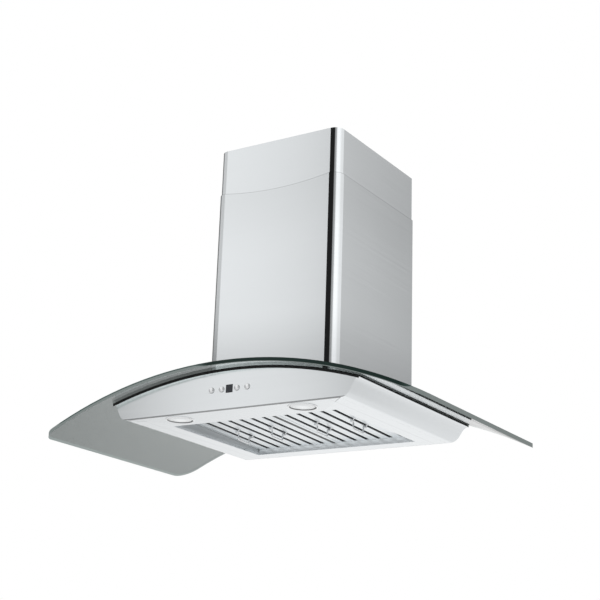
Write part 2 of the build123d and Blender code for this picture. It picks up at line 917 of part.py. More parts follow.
def knuckle_radius():
    """Outer radius of the flaps' hinge knuckles."""
    return flap_pin_radius + flap_pin_clearance + knuckle_wall


def duct_collar():
    """The round spigot with its flange, a stop ring and two pin holes."""
    inside = collar_radius - collar_sheet
    collar = rod_z(collar_radius, 0, collar_height)
    collar += rod_z(collar_radius + collar_flange, 0, collar_flange_sheet)
    collar -= rod_z(inside, -1, collar_height + 1)
    stop = rod_z(collar_radius - collar_sheet / 2, flap_stop_height - flap_sheet,
                 flap_stop_height)
    stop -= rod_z(inside - flap_stop_width, 0, collar_height)
    collar += stop
    hole = Pos(0, 0, flap_height()) * rod_y(flap_pin_radius, collar_radius + 1,
                                             -collar_radius - 1)
    return collar_place() * (collar - hole)


def damper_flap(side):
    """A half disc with two hinge knuckles; side is -1 or 1."""
    inside = collar_radius - collar_sheet
    radius = inside - flap_edge_gap
    low = flap_stop_height + flap_seat_gap
    knuckle = knuckle_radius()
    free = knuckle + flap_inner_gap
    flap = rod_z(radius, low, low + flap_sheet)
    flap &= box(free, radius + 1, -radius, radius, 0, collar_height)
    length = (2 * radius - 3 * knuckle_gap) / 4
    for first in (0, 2):
        place = first if side > 0 else first + 1
        start = -radius + place * (length + knuckle_gap)
        tab = box(0, 2 * free, start, start + length, low, low + flap_sheet)
        tab &= rod_z(radius, low, low + flap_sheet)
        roll = Pos(0, 0, flap_height()) * rod_y(knuckle, start + length, start)
        roll &= rod_z(radius, 0, collar_height)
        flap += tab
        flap += roll
    flap -= Pos(0, 0, flap_height()) * rod_y(flap_pin_radius + flap_pin_clearance,
                                              radius + 5, -radius - 5)
    if side < 0:
        flap = mirror(flap, about=Plane.YZ)
    return collar_place() * flap


def damper_pin():
    """The pin that both flaps turn on."""
    end = collar_radius - flap_pin_end_gap
    return collar_place() * Pos(0, 0, flap_height()) * rod_y(flap_pin_radius, end, -end)


# Wiring

def wiring_place():
    """Front left corner of the wiring box on the top of the chamber."""
    return Pos(-chamber_width / 2 + wiring_box_corner_gap,
               chamber_front + wiring_box_corner_gap, chamber_top_height)


def wiring_box():
    """The tray of the wiring box."""
    wall = wiring_box_wall
    tray = box(0, wiring_box_width, 0, wiring_box_depth, 0, wiring_box_height)
    tray -= box(wall, wiring_box_width - wall, wall, wiring_box_depth - wall, wall,
                wiring_box_height + 1)
    return wiring_place() * tray


def gland_place():
    """Centre of the gland on the lower face of the lid."""
    return wiring_place() * Pos(wiring_box_width - gland_edge_gap, wiring_box_depth / 2,
                                wiring_box_height)


def wiring_lid():
    """The lid of the wiring box, with a hole for the gland."""
    low = wiring_box_height
    lid = box(0, wiring_box_width, 0, wiring_box_depth, low, low + wiring_lid_thickness)
    hole = rod_z(gland_radius, -wiring_lid_thickness, 2 * wiring_lid_thickness)
    return wiring_place() * lid - gland_place() * hole


def terminal_block():
    """A row of joined terminals on the floor of the wiring box."""
    x = wiring_box_wall + terminal_edge_gap
    y = (wiring_box_depth - terminal_depth) / 2
    low = wiring_box_wall
    block = box(x, x + terminal_pitch * terminal_count, y, y + terminal_depth, low,
                low + terminal_height)
    for index in range(terminal_count):
        place = Pos(x + terminal_pitch * (index + 0.5), y + terminal_depth / 2, 0)
        block -= place * rod_z(terminal_pitch / 4, low + terminal_height / 2,
                               low + terminal_height + 1)
    return wiring_place() * block


def cable_gland():
    """The nuts, sleeve and cap through which the supply lead comes up from the box."""
    nut = hexagon_z(gland_nut_width, 0, gland_nut_length)
    top = wiring_lid_thickness + gland_length
    body = rod_z(gland_radius, -gland_nut_length, top)
    body += Pos(0, 0, -gland_nut_length) * nut
    body += Pos(0, 0, wiring_lid_thickness) * nut
    body += rod_z(gland_sleeve_radius, wiring_lid_thickness + gland_nut_length,
                  top - gland_cap_height)
    body -= rod_z(gland_bore_radius, -2 * gland_nut_length, 2 * top)
    return gland_place() * body


def capacitor_place():
    """Foot of the capacitor, its can held against the clip on the left wall."""
    x = -chamber_width / 2 + chamber_sheet + clip_sheet + capacitor_radius
    return Pos(x, chamber_front + capacitor_setback, fan_height + capacitor_rise)


def capacitor():
    """The motor's run capacitor, upright beside the chamber's left wall."""
    can = rod_z(capacitor_radius, 0, capacitor_height)
    can = fillet(can.edges().filter_by(GeomType.CIRCLE), capacitor_rim)
    return capacitor_place() * can


def capacitor_clip():
    """The strap round the capacitor, with its two feet on the chamber's wall."""
    wall = -capacitor_radius - clip_sheet
    low = (capacitor_height - clip_height) / 2
    high = low + clip_height
    foot = capacitor_radius + clip_sheet + clip_reach
    clip = rod_z(capacitor_radius + clip_sheet, low, high)
    clip += box(wall, wall + clip_sheet, -foot, foot, low, high)
    clip += box(wall, 0, -capacitor_radius - clip_sheet, capacitor_radius + clip_sheet, low, high)
    clip -= box(wall + clip_sheet, 0, -capacitor_radius, capacitor_radius, low, high)
    return capacitor_place() * (clip - rod_z(capacitor_radius, low, high))


# Chimney

def chimney_plan(inset, return_width, rear):
    """Plan of a cover: walls on three sides, returns along the wall."""
    half = chimney_width / 2 - inset
    front_face = -chimney_depth + inset
    radius = chimney_corner_radius - inset

    def hull(shrink, back):
        rect = Pos(0, (front_face + shrink + back) / 2) * Rectangle(
            2 * (half - shrink), back - front_face - shrink)
        corners = rect.vertices().group_by(Axis.Y)[0]
        return fillet(corners, radius - shrink)

    plan = hull(0, rear) - hull(sheet, rear - sheet)
    gap = half - return_width
    return plan - Pos(0, rear) * Rectangle(2 * gap, 10)


def lower_chimney():
    """The lower cover: foot cut to the glass, a shallow dip in the front edge."""
    low = arch_height(chimney_width / 2, glass_radius) - 5
    cover = along_z(chimney_plan(0, chimney_return, 0), low, lower_chimney_top)
    cover -= arch_solid(glass_radius + chimney_seat_gap, 5, -chimney_depth - 5)
    flat = chimney_width / 2 - chimney_corner_radius
    dip_radius = (flat ** 2 + chimney_dip ** 2) / (2 * chimney_dip)
    top = lower_chimney_top + dip_radius - chimney_dip
    dip = Pos(0, 0, top) * rod_y(dip_radius, -chimney_depth + 2 * sheet,
                                  -chimney_depth - 2 * sheet)
    return cover - dip


def upper_chimney():
    """The upper cover, which slides inside the lower one."""
    rear = -sheet - return_play
    returns = chimney_return - upper_play
    low = upper_chimney_top - upper_chimney_length
    return along_z(chimney_plan(upper_play, returns, rear), low, upper_chimney_top)


def bracket_screw_places():
    """Screws through the tabs of the bracket and the upper cover's returns."""
    x = chimney_width / 2 - upper_play - (chimney_return - upper_play) / 2
    z = upper_chimney_top - bracket_top_gap - bracket_height / 2
    y = -2 * sheet - return_play - bracket_tab_gap
    return [Pos(-x, y, z), Pos(x, y, z)]


def chimney_bracket():
    """A pressed strip on the wall whose tabs hold the upper cover's returns."""
    high = upper_chimney_top - bracket_top_gap
    low = high - bracket_height
    web = chimney_width / 2 - chimney_return - bracket_clearance
    tab_rear = -2 * sheet - return_play - bracket_tab_gap
    tab_front = tab_rear - bracket_sheet
    tab_end = chimney_width / 2 - upper_play - 2 * sheet
    bracket = box(-web, web, -bracket_sheet, 0, low, high)
    for side in (-1, 1):
        x = sorted((side * (web - bracket_sheet), side * web))
        bracket += box(x[0], x[1], tab_front, 0, low, high)
        x = sorted((side * (web - bracket_sheet), side * tab_end))
        bracket += box(x[0], x[1], tab_front, tab_rear, low, high)
    middle = (low + high) / 2
    for side in (-1, 1):
        place = Pos(side * bracket_hole_spacing / 2, 0, middle)
        bracket -= place * rod_y(bracket_hole_radius, 5, -5)
    for place in bracket_screw_places():
        bracket -= place * rod_y(bracket_screw_radius, 0, -2 * bracket_sheet)
    return bracket


def bracket_screws():
    """The two screws of the upper chimney's bracket."""
    head = -bracket_sheet - bracket_screw_head_height
    screw = rod_y(bracket_screw_head_radius, -bracket_sheet, head)
    screw += rod_y(bracket_screw_radius, 0, head)
    return [place * screw for place in bracket_screw_places()]


# Glass clamps

def glass_screws():
    """Domed screws through washer, glass, spacer and body, one solid each."""
    seat = top_washer_thickness
    tail = -glass_thickness - rubber_thickness - sheet - glass_nut_height - glass_screw_tail
    screw = rod_z(glass_screw_radius, tail, seat)
    head = rod_z(glass_screw_head_radius, seat, seat + glass_screw_head_height)
    rim = head.edges().filter_by(GeomType.CIRCLE).group_by(Axis.Z)[-1]
    screw += fillet(rim, glass_screw_head_height * 0.7)
    return [place * screw for place in glass_screw_places(glass_radius)]


def top_washers():
    """Rubber washers under the screw heads."""
    ring = rod_z(top_washer_radius, 0, top_washer_thickness)
    ring -= rod_z(glass_screw_radius + glass_screw_clearance, -1, top_washer_thickness + 1)
    return [place * ring for place in glass_screw_places(glass_radius)]


def glass_spacers():
    """Rubber spacers between the glass and the body at each screw."""
    ring = rod_z(spacer_radius, rubber_seat_gap - rubber_thickness, -rubber_seat_gap)
    ring -= rod_z(glass_screw_radius + glass_screw_clearance, -10, 10)
    under_glass = glass_radius - glass_thickness
    return [place * ring for place in glass_screw_places(under_glass)]


def glass_nuts():
    """Nuts on the clamp screws, under the body's top."""
    nut = hexagon_z(glass_nut_width, -glass_nut_height - rubber_seat_gap, -rubber_seat_gap)
    nut -= rod_z(glass_screw_radius, -10, 10)
    inner = body_radius - sheet
    return [place * nut for place in glass_screw_places(inner)]


# Writing the pieces

def save(name, shape):
    """Moves a piece or a list of pieces to the wall screws and writes it."""
    to_origin = Pos(0, 0, -wall_hole_centre)
    if isinstance(shape, list):
        shape = Compound(children=[to_origin * piece for piece in shape])
    else:
        shape = to_origin * shape
    export_step(shape, f"parts/{name}.step")


def save_filter(name, side):
    """One filter: frame, baffles, saddles and its two bails."""
    place = filter_place(side)
    save(f"{name}_frame", place * filter_frame())
    save(f"{name}_baffles", [place * piece for piece in filter_baffles()])
    save(f"{name}_bail_saddles", [place * piece for piece in bail_saddles()])
    for end, pivot in zip(("left", "right"), bail_pivots()):
        save(f"{name}_{end}_bail", place * pivot * bail())


def save_lamp(name, side):
    """One light: housing, lens and board."""
    place = lamp_place(side)
    save(f"{name}_housing", place * lamp_housing())
    save(f"{name}_lens", place * lamp_lens())
    save(f"{name}_board", place * lamp_board())


def main():
    """Builds every piece and writes it to its own file."""
    os.makedirs("parts", exist_ok=True)
    save("glass_canopy", glass_canopy())
    save("rubber_strip", rubber_strip())
    save("body_shell", body_shell())
    save("underside_panel", underside_panel())
    save("back_plate", back_plate())
    save("blower_chamber", blower_chamber())
    save("chamber_screws", chamber_screws())
    save("scroll_housing", scroll_housing())
    save("inlet_rings", inlet_rings())
    save("impeller", impeller())
    save("motor_shaft", motor_shaft())
    save("shaft_nut", shaft_nut())
    save("motor", motor())
    save("motor_bracket", motor_bracket())
    save("duct_collar", duct_collar())
    save("damper_pin", damper_pin())
    save("damper_flap_left", damper_flap(-1))
    save("damper_flap_right", damper_flap(1))
    save("wiring_box", wiring_box())
    save("wiring_lid", wiring_lid())
    save("terminal_block", terminal_block())
    save("cable_gland", cable_gland())
    save("capacitor", capacitor())
    save("capacitor_clip", capacitor_clip())
    save("lower_chimney", lower_chimney())
    save("upper_chimney", upper_chimney())
    save("chimney_bracket", chimney_bracket())
    save("bracket_screws", bracket_screws())
    save("glass_screws", glass_screws())
    save("glass_top_washers", top_washers())
    save("glass_spacers", glass_spacers())
    save("glass_nuts", glass_nuts())
    save_filter("left_filter", -1)
    save_filter("right_filter", 1)
    save_lamp("left_lamp", -1)
    save_lamp("right_lamp", 1)
    save("control_box", control_box())
    save("control_board", control_board())
    save("key_switches", switches())
    save("display_window", display_window())
    save("display_module", display_module())
    for name, offset_x in zip(("power", "minus", "plus", "light"), button_offsets):
        save(f"{name}_button", Pos(offset_x, front, control_height) * button())


main()
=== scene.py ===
"""Curved glass range hood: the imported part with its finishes, trim, light and camera."""

import logging
import math
from dataclasses import dataclass
from enum import Enum
from typing import Union

import bmesh
import bpy
import numpy as np
from mathutils import Matrix, Vector


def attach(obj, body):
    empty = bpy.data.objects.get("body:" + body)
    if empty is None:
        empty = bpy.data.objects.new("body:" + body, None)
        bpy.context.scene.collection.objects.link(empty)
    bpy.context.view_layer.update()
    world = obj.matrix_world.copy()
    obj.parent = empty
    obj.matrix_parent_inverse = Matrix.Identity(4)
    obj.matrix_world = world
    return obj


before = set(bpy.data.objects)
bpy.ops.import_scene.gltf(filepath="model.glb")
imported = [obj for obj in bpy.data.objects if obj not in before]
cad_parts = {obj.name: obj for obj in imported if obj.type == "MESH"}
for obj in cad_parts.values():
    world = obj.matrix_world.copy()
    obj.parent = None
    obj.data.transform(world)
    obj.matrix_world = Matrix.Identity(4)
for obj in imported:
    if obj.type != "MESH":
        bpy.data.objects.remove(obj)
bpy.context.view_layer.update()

LOG = logging.getLogger("range_hood")

Colour = tuple[float, float, float]
Point = tuple[float, float, float]
Span = tuple[float, float]

WHITE: Colour = (1.0, 1.0, 1.0)
FINE_OCTAVES: Span = (3.0, 0.6)


# Shader maths


class Value:
    """A number on a shader socket, which Python's operators turn into Math nodes."""

    def __init__(self, shader: "Shader", socket: bpy.types.NodeSocket) -> None:
        """Keeps the node tree and the socket that carries the number."""
        self.shader = shader
        self.socket = socket

    def math(self, operation: str, *others: Union["Value", float]) -> "Value":
        """Feeds this number and the others, in order, to a Math node."""
        return self.shader.math(operation, self, *others)

    def __add__(self, other: Union["Value", float]) -> "Value":
        """Sum."""
        return self.math("ADD", other)

    def __sub__(self, other: Union["Value", float]) -> "Value":
        """Difference."""
        return self.math("SUBTRACT", other)

    def __rsub__(self, other: float) -> "Value":
        """Difference from a plain number, so that 1 - mask works."""
        return self.shader.math("SUBTRACT", other, self)

    def __mul__(self, other: Union["Value", float]) -> "Value":
        """Product."""
        return self.math("MULTIPLY", other)

    def __truediv__(self, other: Union["Value", float]) -> "Value":
        """Quotient."""
        return self.math("DIVIDE", other)

    __radd__ = __add__
    __rmul__ = __mul__

    def size(self) -> "Value":
        """The number without its sign."""
        return self.math("ABSOLUTE")

    def scaled(self, start: float, change: float) -> "Value":
        """A start plus the number times a change."""
        return start + self * change

    def reach(self, other: "Value") -> "Value":
        """Length of the vector made of this number and another."""
        return (self * self + other * other).math("SQRT")

    def ramp(self, start: float, end: float) -> "Value":
        """A smooth step.

        Args:
            start: The number up to which the step is 0.
            end: The number from which it is 1.

        Returns:
            The step.
        """
        node = self.shader.node(
            "ShaderNodeMapRange",
            {"interpolation_type": "SMOOTHSTEP", "clamp": True},
            {"Value": self, "From Min": start, "From Max": end},
        )
        return Value(self.shader, node.outputs["Result"])

    def window(self, low: float, high: float, soft: float) -> "Value":
        """1 between two bounds and 0 outside, with soft shoulders inside the bounds."""
        return self.ramp(low, low + soft) * (1 - self.ramp(high - soft, high))


Input = Union[Value, bpy.types.NodeSocket, float, tuple, Vector]


class Shader:
    """The nodes of one material, or of the world."""

    def __init__(self, tree: bpy.types.NodeTree) -> None:
        """Empties a node tree to write a new shader in it."""
        tree.nodes.clear()
        self.tree = tree

    def node(
        self,
        kind: str,
        settings: dict[str, object] | None = None,
        inputs: dict[str | int, Input] | None = None,
    ) -> bpy.types.Node:
        """Adds a node, with its settings first and then its sockets.

        Args:
            kind: The node's type.
            settings: Its properties.
            inputs: Values or links by socket name or number.

        Returns:
            The node.
        """
        node = self.tree.nodes.new(kind)
        for name, value in (settings or {}).items():
            setattr(node, name, value)
        for name, value in (inputs or {}).items():
            self.feed(node.inputs[name], value)
        return node

    def feed(self, socket: bpy.types.NodeSocket, value: Input) -> None:
        """Links a value to a socket, or sets the socket's own number or colour.

        Args:
            socket: The input socket.
            value: What it takes.
        """
        if isinstance(value, Value):
            value = value.socket
        if isinstance(value, bpy.types.NodeSocket):
            self.tree.links.new(value, socket)
        elif isinstance(value, tuple) and len(value) == 3 and socket.type == "RGBA":
            socket.default_value = (*value, 1.0)
        else:
            socket.default_value = value

    def math(self, operation: str, *inputs: Union[Value, float]) -> Value:
        """A Math node on numbers, given in the order of its inputs."""
        node = self.node("ShaderNodeMath", {"operation": operation}, dict(enumerate(inputs)))
        return Value(self, node.outputs[0])

    def mix_colours(self, factor: Value, low: Input, high: Input) -> bpy.types.NodeSocket:
        """Mixes two colours: low at factor 0 and high at factor 1."""
        node = self.node("ShaderNodeMix", {"data_type": "RGBA"}, {0: factor, 6: low, 7: high})
        return node.outputs[2]

    def mix_shaders(self, factor: Value, low: Input, high: Input) -> bpy.types.NodeSocket:
        """Mixes two shaders: low at factor 0 and high at factor 1."""
        return self.node("ShaderNodeMixShader", None, {0: factor, 1: low, 2: high}).outputs[0]

    def tint(self, colour: Input, factor: Value) -> bpy.types.NodeSocket:
        """A colour times a number, worked out as a vector so that it keeps its hue."""
        inputs = {0: colour, "Scale": factor}
        return self.node("ShaderNodeVectorMath", {"operation": "SCALE"}, inputs).outputs[0]

    def parts(self, vector: bpy.types.NodeSocket) -> tuple[Value, Value, Value]:
        """The X, Y and Z of a vector."""
        node = self.node("ShaderNodeSeparateXYZ", None, {0: vector})
        return tuple(Value(self, output) for output in node.outputs)

    def place(self) -> bpy.types.NodeSocket:
        """The point on the piece, in metres in the part's frame."""
        return self.node("ShaderNodeTexCoord").outputs["Object"]

    def point(self) -> tuple[Value, Value, Value]:
        """The point's X across the hood, Y towards the wall and Z up."""
        return self.parts(self.place())

    def facing(self) -> tuple[Value, Value, Value]:
        """The X, Y and Z of the surface's normal."""
        return self.parts(self.node("ShaderNodeTexCoord").outputs["Normal"])

    def bearing(self, across: Value, back: Value) -> Value:
        """Degrees about the hood: 0 towards +X and 90 towards the wall."""
        return back.math("ARCTAN2", across) * math.degrees(1)

    def noise(self, scale: Point, detail: float = 2.0, rough: float = 0.5) -> Value:
        """Fractal noise, finer along an axis where its scale is larger.

        Args:
            scale: Features per metre along X, Y and Z.
            detail: Octaves.
            rough: Weight of the finer octaves.

        Returns:
            Noise about 0.5.
        """
        mapped = self.node("ShaderNodeMapping", None, {"Vector": self.place(), "Scale": scale})
        node = self.node(
            "ShaderNodeTexNoise",
            {"noise_dimensions": "3D"},
            {"Vector": mapped.outputs[0], "Scale": 1.0, "Detail": detail, "Roughness": rough},
        )
        return Value(self, node.outputs[0])

    def bump(self, height: Value, distance: float, strength: float) -> bpy.types.NodeSocket:
        """The normal over a height map whose full step is a distance in metres."""
        inputs = {"Height": height, "Distance": distance, "Strength": strength}
        return self.node("ShaderNodeBump", None, inputs).outputs["Normal"]

    def principled(self, inputs: dict[str, Input]) -> bpy.types.NodeSocket:
        """A Principled BSDF with these inputs."""
        return self.node("ShaderNodeBsdfPrincipled", None, inputs).outputs["BSDF"]

    def emission(self, colour: Input, strength: float) -> bpy.types.NodeSocket:
        """Light of a colour."""
        inputs = {"Color": colour, "Strength": strength}
        return self.node("ShaderNodeEmission", None, inputs).outputs[0]


# Finishes


@dataclass(frozen=True)
class Finish:
    """A finish with a name; each kind of finish writes its own shader."""

    name: str

    def material(self) -> bpy.types.Material:
        """Makes the material, or finds it if this finish already has one.

        Returns:
            The material.
        """
        found = bpy.data.materials.get(self.name)
        if found:
            return found
        material = bpy.data.materials.new(self.name)
        material.use_nodes = True
        shader = Shader(material.node_tree)
        shader.node("ShaderNodeOutputMaterial", None, {"Surface": self.surface(shader)})
        return material

    def surface(self, shader: Shader) -> bpy.types.NodeSocket:
        """The shader output that the material shows."""
        raise NotImplementedError


class Grain(Enum):
    """Direction of a brushed grain, as features per metre along X, Y and Z."""

    LEVEL = (4.0, 4.0, 1500.0)
    WIDTHWISE = (4.0, 1500.0, 1500.0)
    DEPTHWISE = (1500.0, 4.0, 1500.0)


@dataclass(frozen=True)
class BrushedSteel(Finish):
    """Stainless steel with fine parallel strokes and a little handling haze.

    The strokes are two noises, the second one coarser. They change the colour, the
    roughness and the height; the haze changes the colour and the roughness.
    """

    colour: Colour = (0.755, 0.780, 0.795)
    grain: Grain = Grain.LEVEL
    roughness: float = 0.15
    stroke: float = 0.07
    stroke_gloss: float = 0.08
    stroke_height: float = 0.000006
    stroke_bump: float = 0.2
    stroke_weights: Span = (1.2, 0.8)
    coarser: float = 0.25
    haze: float = 0.04
    haze_tone: float = 0.04
    haze_scale: Point = (7.0, 7.0, 5.0)

    def shade(self, shader: Shader) -> Value | float:
        """Factor on the colour that paints light and shade; a plain sheet has none."""
        return 1.0

    def dull(self, shader: Shader) -> Value | float:
        """Roughness added by place; a plain sheet has none."""
        return 0.0

    def surface(self, shader: Shader) -> bpy.types.NodeSocket:
        """Brushed metal.

        Args:
            shader: The nodes to write.

        Returns:
            The shader output.
        """
        fine = shader.noise(self.grain.value, *FINE_OCTAVES)
        broad = shader.noise(tuple(part * self.coarser for part in self.grain.value))
        haze = shader.noise(self.haze_scale, 3.0) - 0.5
        stroke = (fine - 0.5) * self.stroke_weights[0] + (broad - 0.5) * self.stroke_weights[1]
        level = 1 + stroke * self.stroke + haze * self.haze_tone
        rough = self.roughness + stroke * self.stroke_gloss + haze * self.haze
        return shader.principled({
            "Base Color": shader.tint(self.colour, level * self.shade(shader)),
            "Metallic": 1.0,
            "Roughness": rough + self.dull(shader),
            "Normal": shader.bump(fine, self.stroke_height, self.stroke_bump),
        })


@dataclass(frozen=True)
class ChimneySteel(BrushedSteel):
    """A chimney cover with painted reflections on its polished front corners.

    Each band is a range of the normal's X, which is 0 at the front and 1 at the right
    side: the front right corner has a painted dark reflection and then a painted highlight,
    and the left one a painted dark reflection.
    """

    painted_dark_reflection_band: Span = (0.03, 0.50)
    dark: float = 0.94
    painted_highlight_band: Span = (0.55, 0.97)
    bright: float = 0.22
    painted_highlight_soft: float = 0.12
    painted_left_reflection_band: Span = (-0.93, -0.54)
    painted_left_reflection_dark: float = 0.8
    soft: float = 0.06

    def shade(self, shader: Shader) -> Value:
        """The corners' painted reflections, as bands of tone.

        Args:
            shader: The nodes to write.

        Returns:
            The factor on the colour.
        """
        aside = shader.facing()[0]
        # Painted reflections: dark and then bright on the front right corner, dark on the left
        # one.
        dark = aside.window(*self.painted_dark_reflection_band, self.soft) * self.dark
        bright = aside.window(*self.painted_highlight_band, self.painted_highlight_soft) * self.bright
        left = aside.window(*self.painted_left_reflection_band, self.soft) * self.painted_left_reflection_dark
        return (1 + bright - dark) * (1 - left)


@dataclass(frozen=True)
class CoverSteel(ChimneySteel):
    """The lower chimney cover: painted shade towards its ends, a painted shadow line at its top.
    """

    top: float = 0.337
    dip: float = 0.011
    dip_half_width: float = 0.133
    painted_seam_shadow_line: Span = (-0.0016, -0.0008)
    edge_dark: float = 0.25
    level: float = 1.03
    upper_from: float = 0.16
    painted_upper_shade: float = 0.08
    lower_between: Span = (-0.10, 0.06)
    painted_lower_shade: float = 0.24

    def shade(self, shader: Shader) -> Value:
        """Painted shade along the height, and a painted shadow line at the edge that follows the
        dip's arc across the front.

        The arc's radius is (w squared + d squared) / 2 d for half width w and depth d.

        Args:
            shader: The nodes to write.

        Returns:
            The factor on the colour.
        """
        across, _, height = shader.point()
        radius = (self.dip_half_width ** 2 + self.dip ** 2) / (2 * self.dip)
        arc = radius - (radius ** 2 - across * across).math("SQRT")
        edge = (arc - self.dip).math("MINIMUM", 0.0) + self.top
        # Painted shadow line along the top edge, where the upper cover meets this one.
        line = (height - edge).ramp(*self.painted_seam_shadow_line)
        # Painted shade near the top and towards the bottom.
        upper = height.ramp(self.upper_from, self.top)
        lower = 1 - height.ramp(*self.lower_between)
        tone = self.level - upper * self.painted_upper_shade - lower * self.painted_lower_shade
        return (tone - line * self.edge_dark) * super().shade(shader)


@dataclass(frozen=True)
class FilterSteel(BrushedSteel):
    """Filter sheet that darkens with depth behind its face, where no light gets in.

    The face is a plane that rises towards the front; rear gives a point of it.
    """

    rear: Span = (-0.0549, -0.1778)
    slope_deg: float = 1.9
    shallow: float = 0.0012
    deep: float = 0.006
    level: float = 1.19
    deep_dark: float = 1.01
    gap: float = 0.0042
    gap_soft: float = 0.0008
    painted_gap_shade_level: float = 0.1

    def shade(self, shader: Shader) -> Value:
        """Painted light on the face; painted shade in the channels behind it and where filters
        meet.

        Args:
            shader: The nodes to write.

        Returns:
            The factor on the colour.
        """
        across, back, height = shader.point()
        # Painted shadow line where the two filters meet.
        meeting = across.size().ramp(self.gap, self.gap + self.gap_soft)
        slope = math.tan(math.radians(self.slope_deg))
        face = self.rear[1] + self.rear[0] * slope - back * slope
        depth = (height - face).ramp(self.shallow, self.deep)
        # Painted light on the face, painted shade deeper in.
        level = self.level - depth * self.deep_dark
        return level * (self.painted_gap_shade_level + meeting * (1 - self.painted_gap_shade_level))


@dataclass(frozen=True)
class BodySteel(BrushedSteel):
    """The body's sheet, with the shadow line where its front panel turns under."""

    front: float = -0.4692
    front_depth: float = 0.001
    low: float = -0.19
    line: Span = (0.0013, 0.00234)
    line_dark: float = 0.6

    def shade(self, shader: Shader) -> Value:
        """A dark line along the foot of the front panel.

        Args:
            shader: The nodes to write.

        Returns:
            The factor on the colour.
        """
        _, back, height = shader.point()
        foot = 1 - (height - self.low).ramp(*self.line)
        ahead = 1 - back.ramp(self.front, self.front + self.front_depth)
        return 1 - foot * ahead * self.line_dark


@dataclass(frozen=True)
class PanelSteel(BrushedSteel):
    """The underside panel: painted shadow lines at its edges and corners, painted light and
    shade in its filter bay.
    """

    front: float = -0.4678
    half_width: float = 0.2526
    fold: float = 0.027
    line: float = 0.0014
    seam_dark: float = 0.85
    painted_fold_shadow: float = 0.12
    painted_mitre_shadow: float = 0.35
    strip_light: float = 0.04
    low: float = -0.19
    bay_rise: Span = (0.002, 0.01)
    painted_bay_light: float = 0.22
    bay_dull: float = 0.25
    bay_side: float = 0.1965
    painted_bay_side_shade: float = 0.55
    soft: float = 0.002

    def bay(self, shader: Shader) -> Value:
        """1 in the filter bay, which lies above the underside."""
        return (shader.point()[2] - self.low).ramp(*self.bay_rise)

    def shade(self, shader: Shader) -> Value:
        """Painted shadow lines, dark at the front seam and faint at the folds and mitres, and
        painted light in the bay with painted shade on its sides.

        Args:
            shader: The nodes to write.

        Returns:
            The factor on the colour.
        """
        across, back, _ = shader.point()
        across = across.size()
        behind = back - self.front
        bay = self.bay(shader)
        inset = self.half_width - self.fold
        # Painted shadow lines at the front seam, the folds and the mitres.
        seam = 1 - behind.ramp(self.line, self.line * 3)
        fold = across.window(inset - self.line, inset + self.line, self.line * 0.5)
        away = (self.half_width - across) - behind
        mitre = away.window(-self.line * 2, self.line * 2, self.line)
        mitre = mitre * across.ramp(inset - self.line, inset) * (1 - bay)
        seams = (1 - seam * self.seam_dark) * (1 - fold * self.painted_fold_shadow)
        seams = seams * (1 - mitre * self.painted_mitre_shadow)
        # Painted light in the bay, painted shade on its sides.
        side = across.ramp(self.bay_side - self.soft, self.bay_side)
        strip = 1 - away.ramp(-self.soft, self.soft)
        tone = bay * (self.painted_bay_light - side * self.painted_bay_side_shade) + strip * self.strip_light
        return seams * (1 + tone)

    def dull(self, shader: Shader) -> Value:
        """The bay is duller than the outside."""
        return self.bay(shader) * self.bay_dull


@dataclass(frozen=True)
class GalvanisedSteel(Finish):
    """Zinc-coated sheet with its spangle: each crystal has its own shade and gloss."""

    colour: Colour = (0.55, 0.57, 0.58)
    metallic: float = 0.95
    crystals: float = 90.0
    tone: Span = (0.85, 0.3)
    roughness: Span = (0.38, 0.16)

    def surface(self, shader: Shader) -> bpy.types.NodeSocket:
        """Spangled metal.

        Args:
            shader: The nodes to write.

        Returns:
            The shader output.
        """
        cells = shader.node("ShaderNodeTexVoronoi", {"feature": "F1"},
                            {"Vector": shader.place(), "Scale": self.crystals})
        shade = shader.parts(cells.outputs["Color"])[0]
        return shader.principled({
            "Base Color": shader.tint(self.colour, shade.scaled(*self.tone)),
            "Metallic": self.metallic,
            "Roughness": shade.scaled(*self.roughness),
        })


@dataclass(frozen=True)
class PlainMetal(Finish):
    """Turned, drawn or plated metal with fine marks all over, in colour and gloss."""

    colour: Colour = (0.72, 0.73, 0.74)
    roughness: float = 0.22
    marks: float = 400.0
    marks_upright: float = 0.3
    marks_tone: Span = (0.95, 0.1)
    marks_gloss: float = 0.12

    def tone(self, shader: Shader) -> Value | float:
        """Factor on the colour by place, for painted light and shade; plain metal has none."""
        return 1.0

    def relief(self, shader: Shader) -> dict[str, Input]:
        """Inputs that replace or join the plain metal's own."""
        return {}

    def surface(self, shader: Shader) -> bpy.types.NodeSocket:
        """Finely marked metal.

        Args:
            shader: The nodes to write.

        Returns:
            The shader output.
        """
        scale = (self.marks, self.marks, self.marks * self.marks_upright)
        marks = shader.noise(scale, *FINE_OCTAVES)
        level = marks.scaled(*self.marks_tone) * self.tone(shader)
        inputs = {
            "Base Color": shader.tint(self.colour, level),
            "Metallic": 1.0,
            "Roughness": self.roughness + (marks - 0.5) * self.marks_gloss,
        }
        return shader.principled(inputs | self.relief(shader))


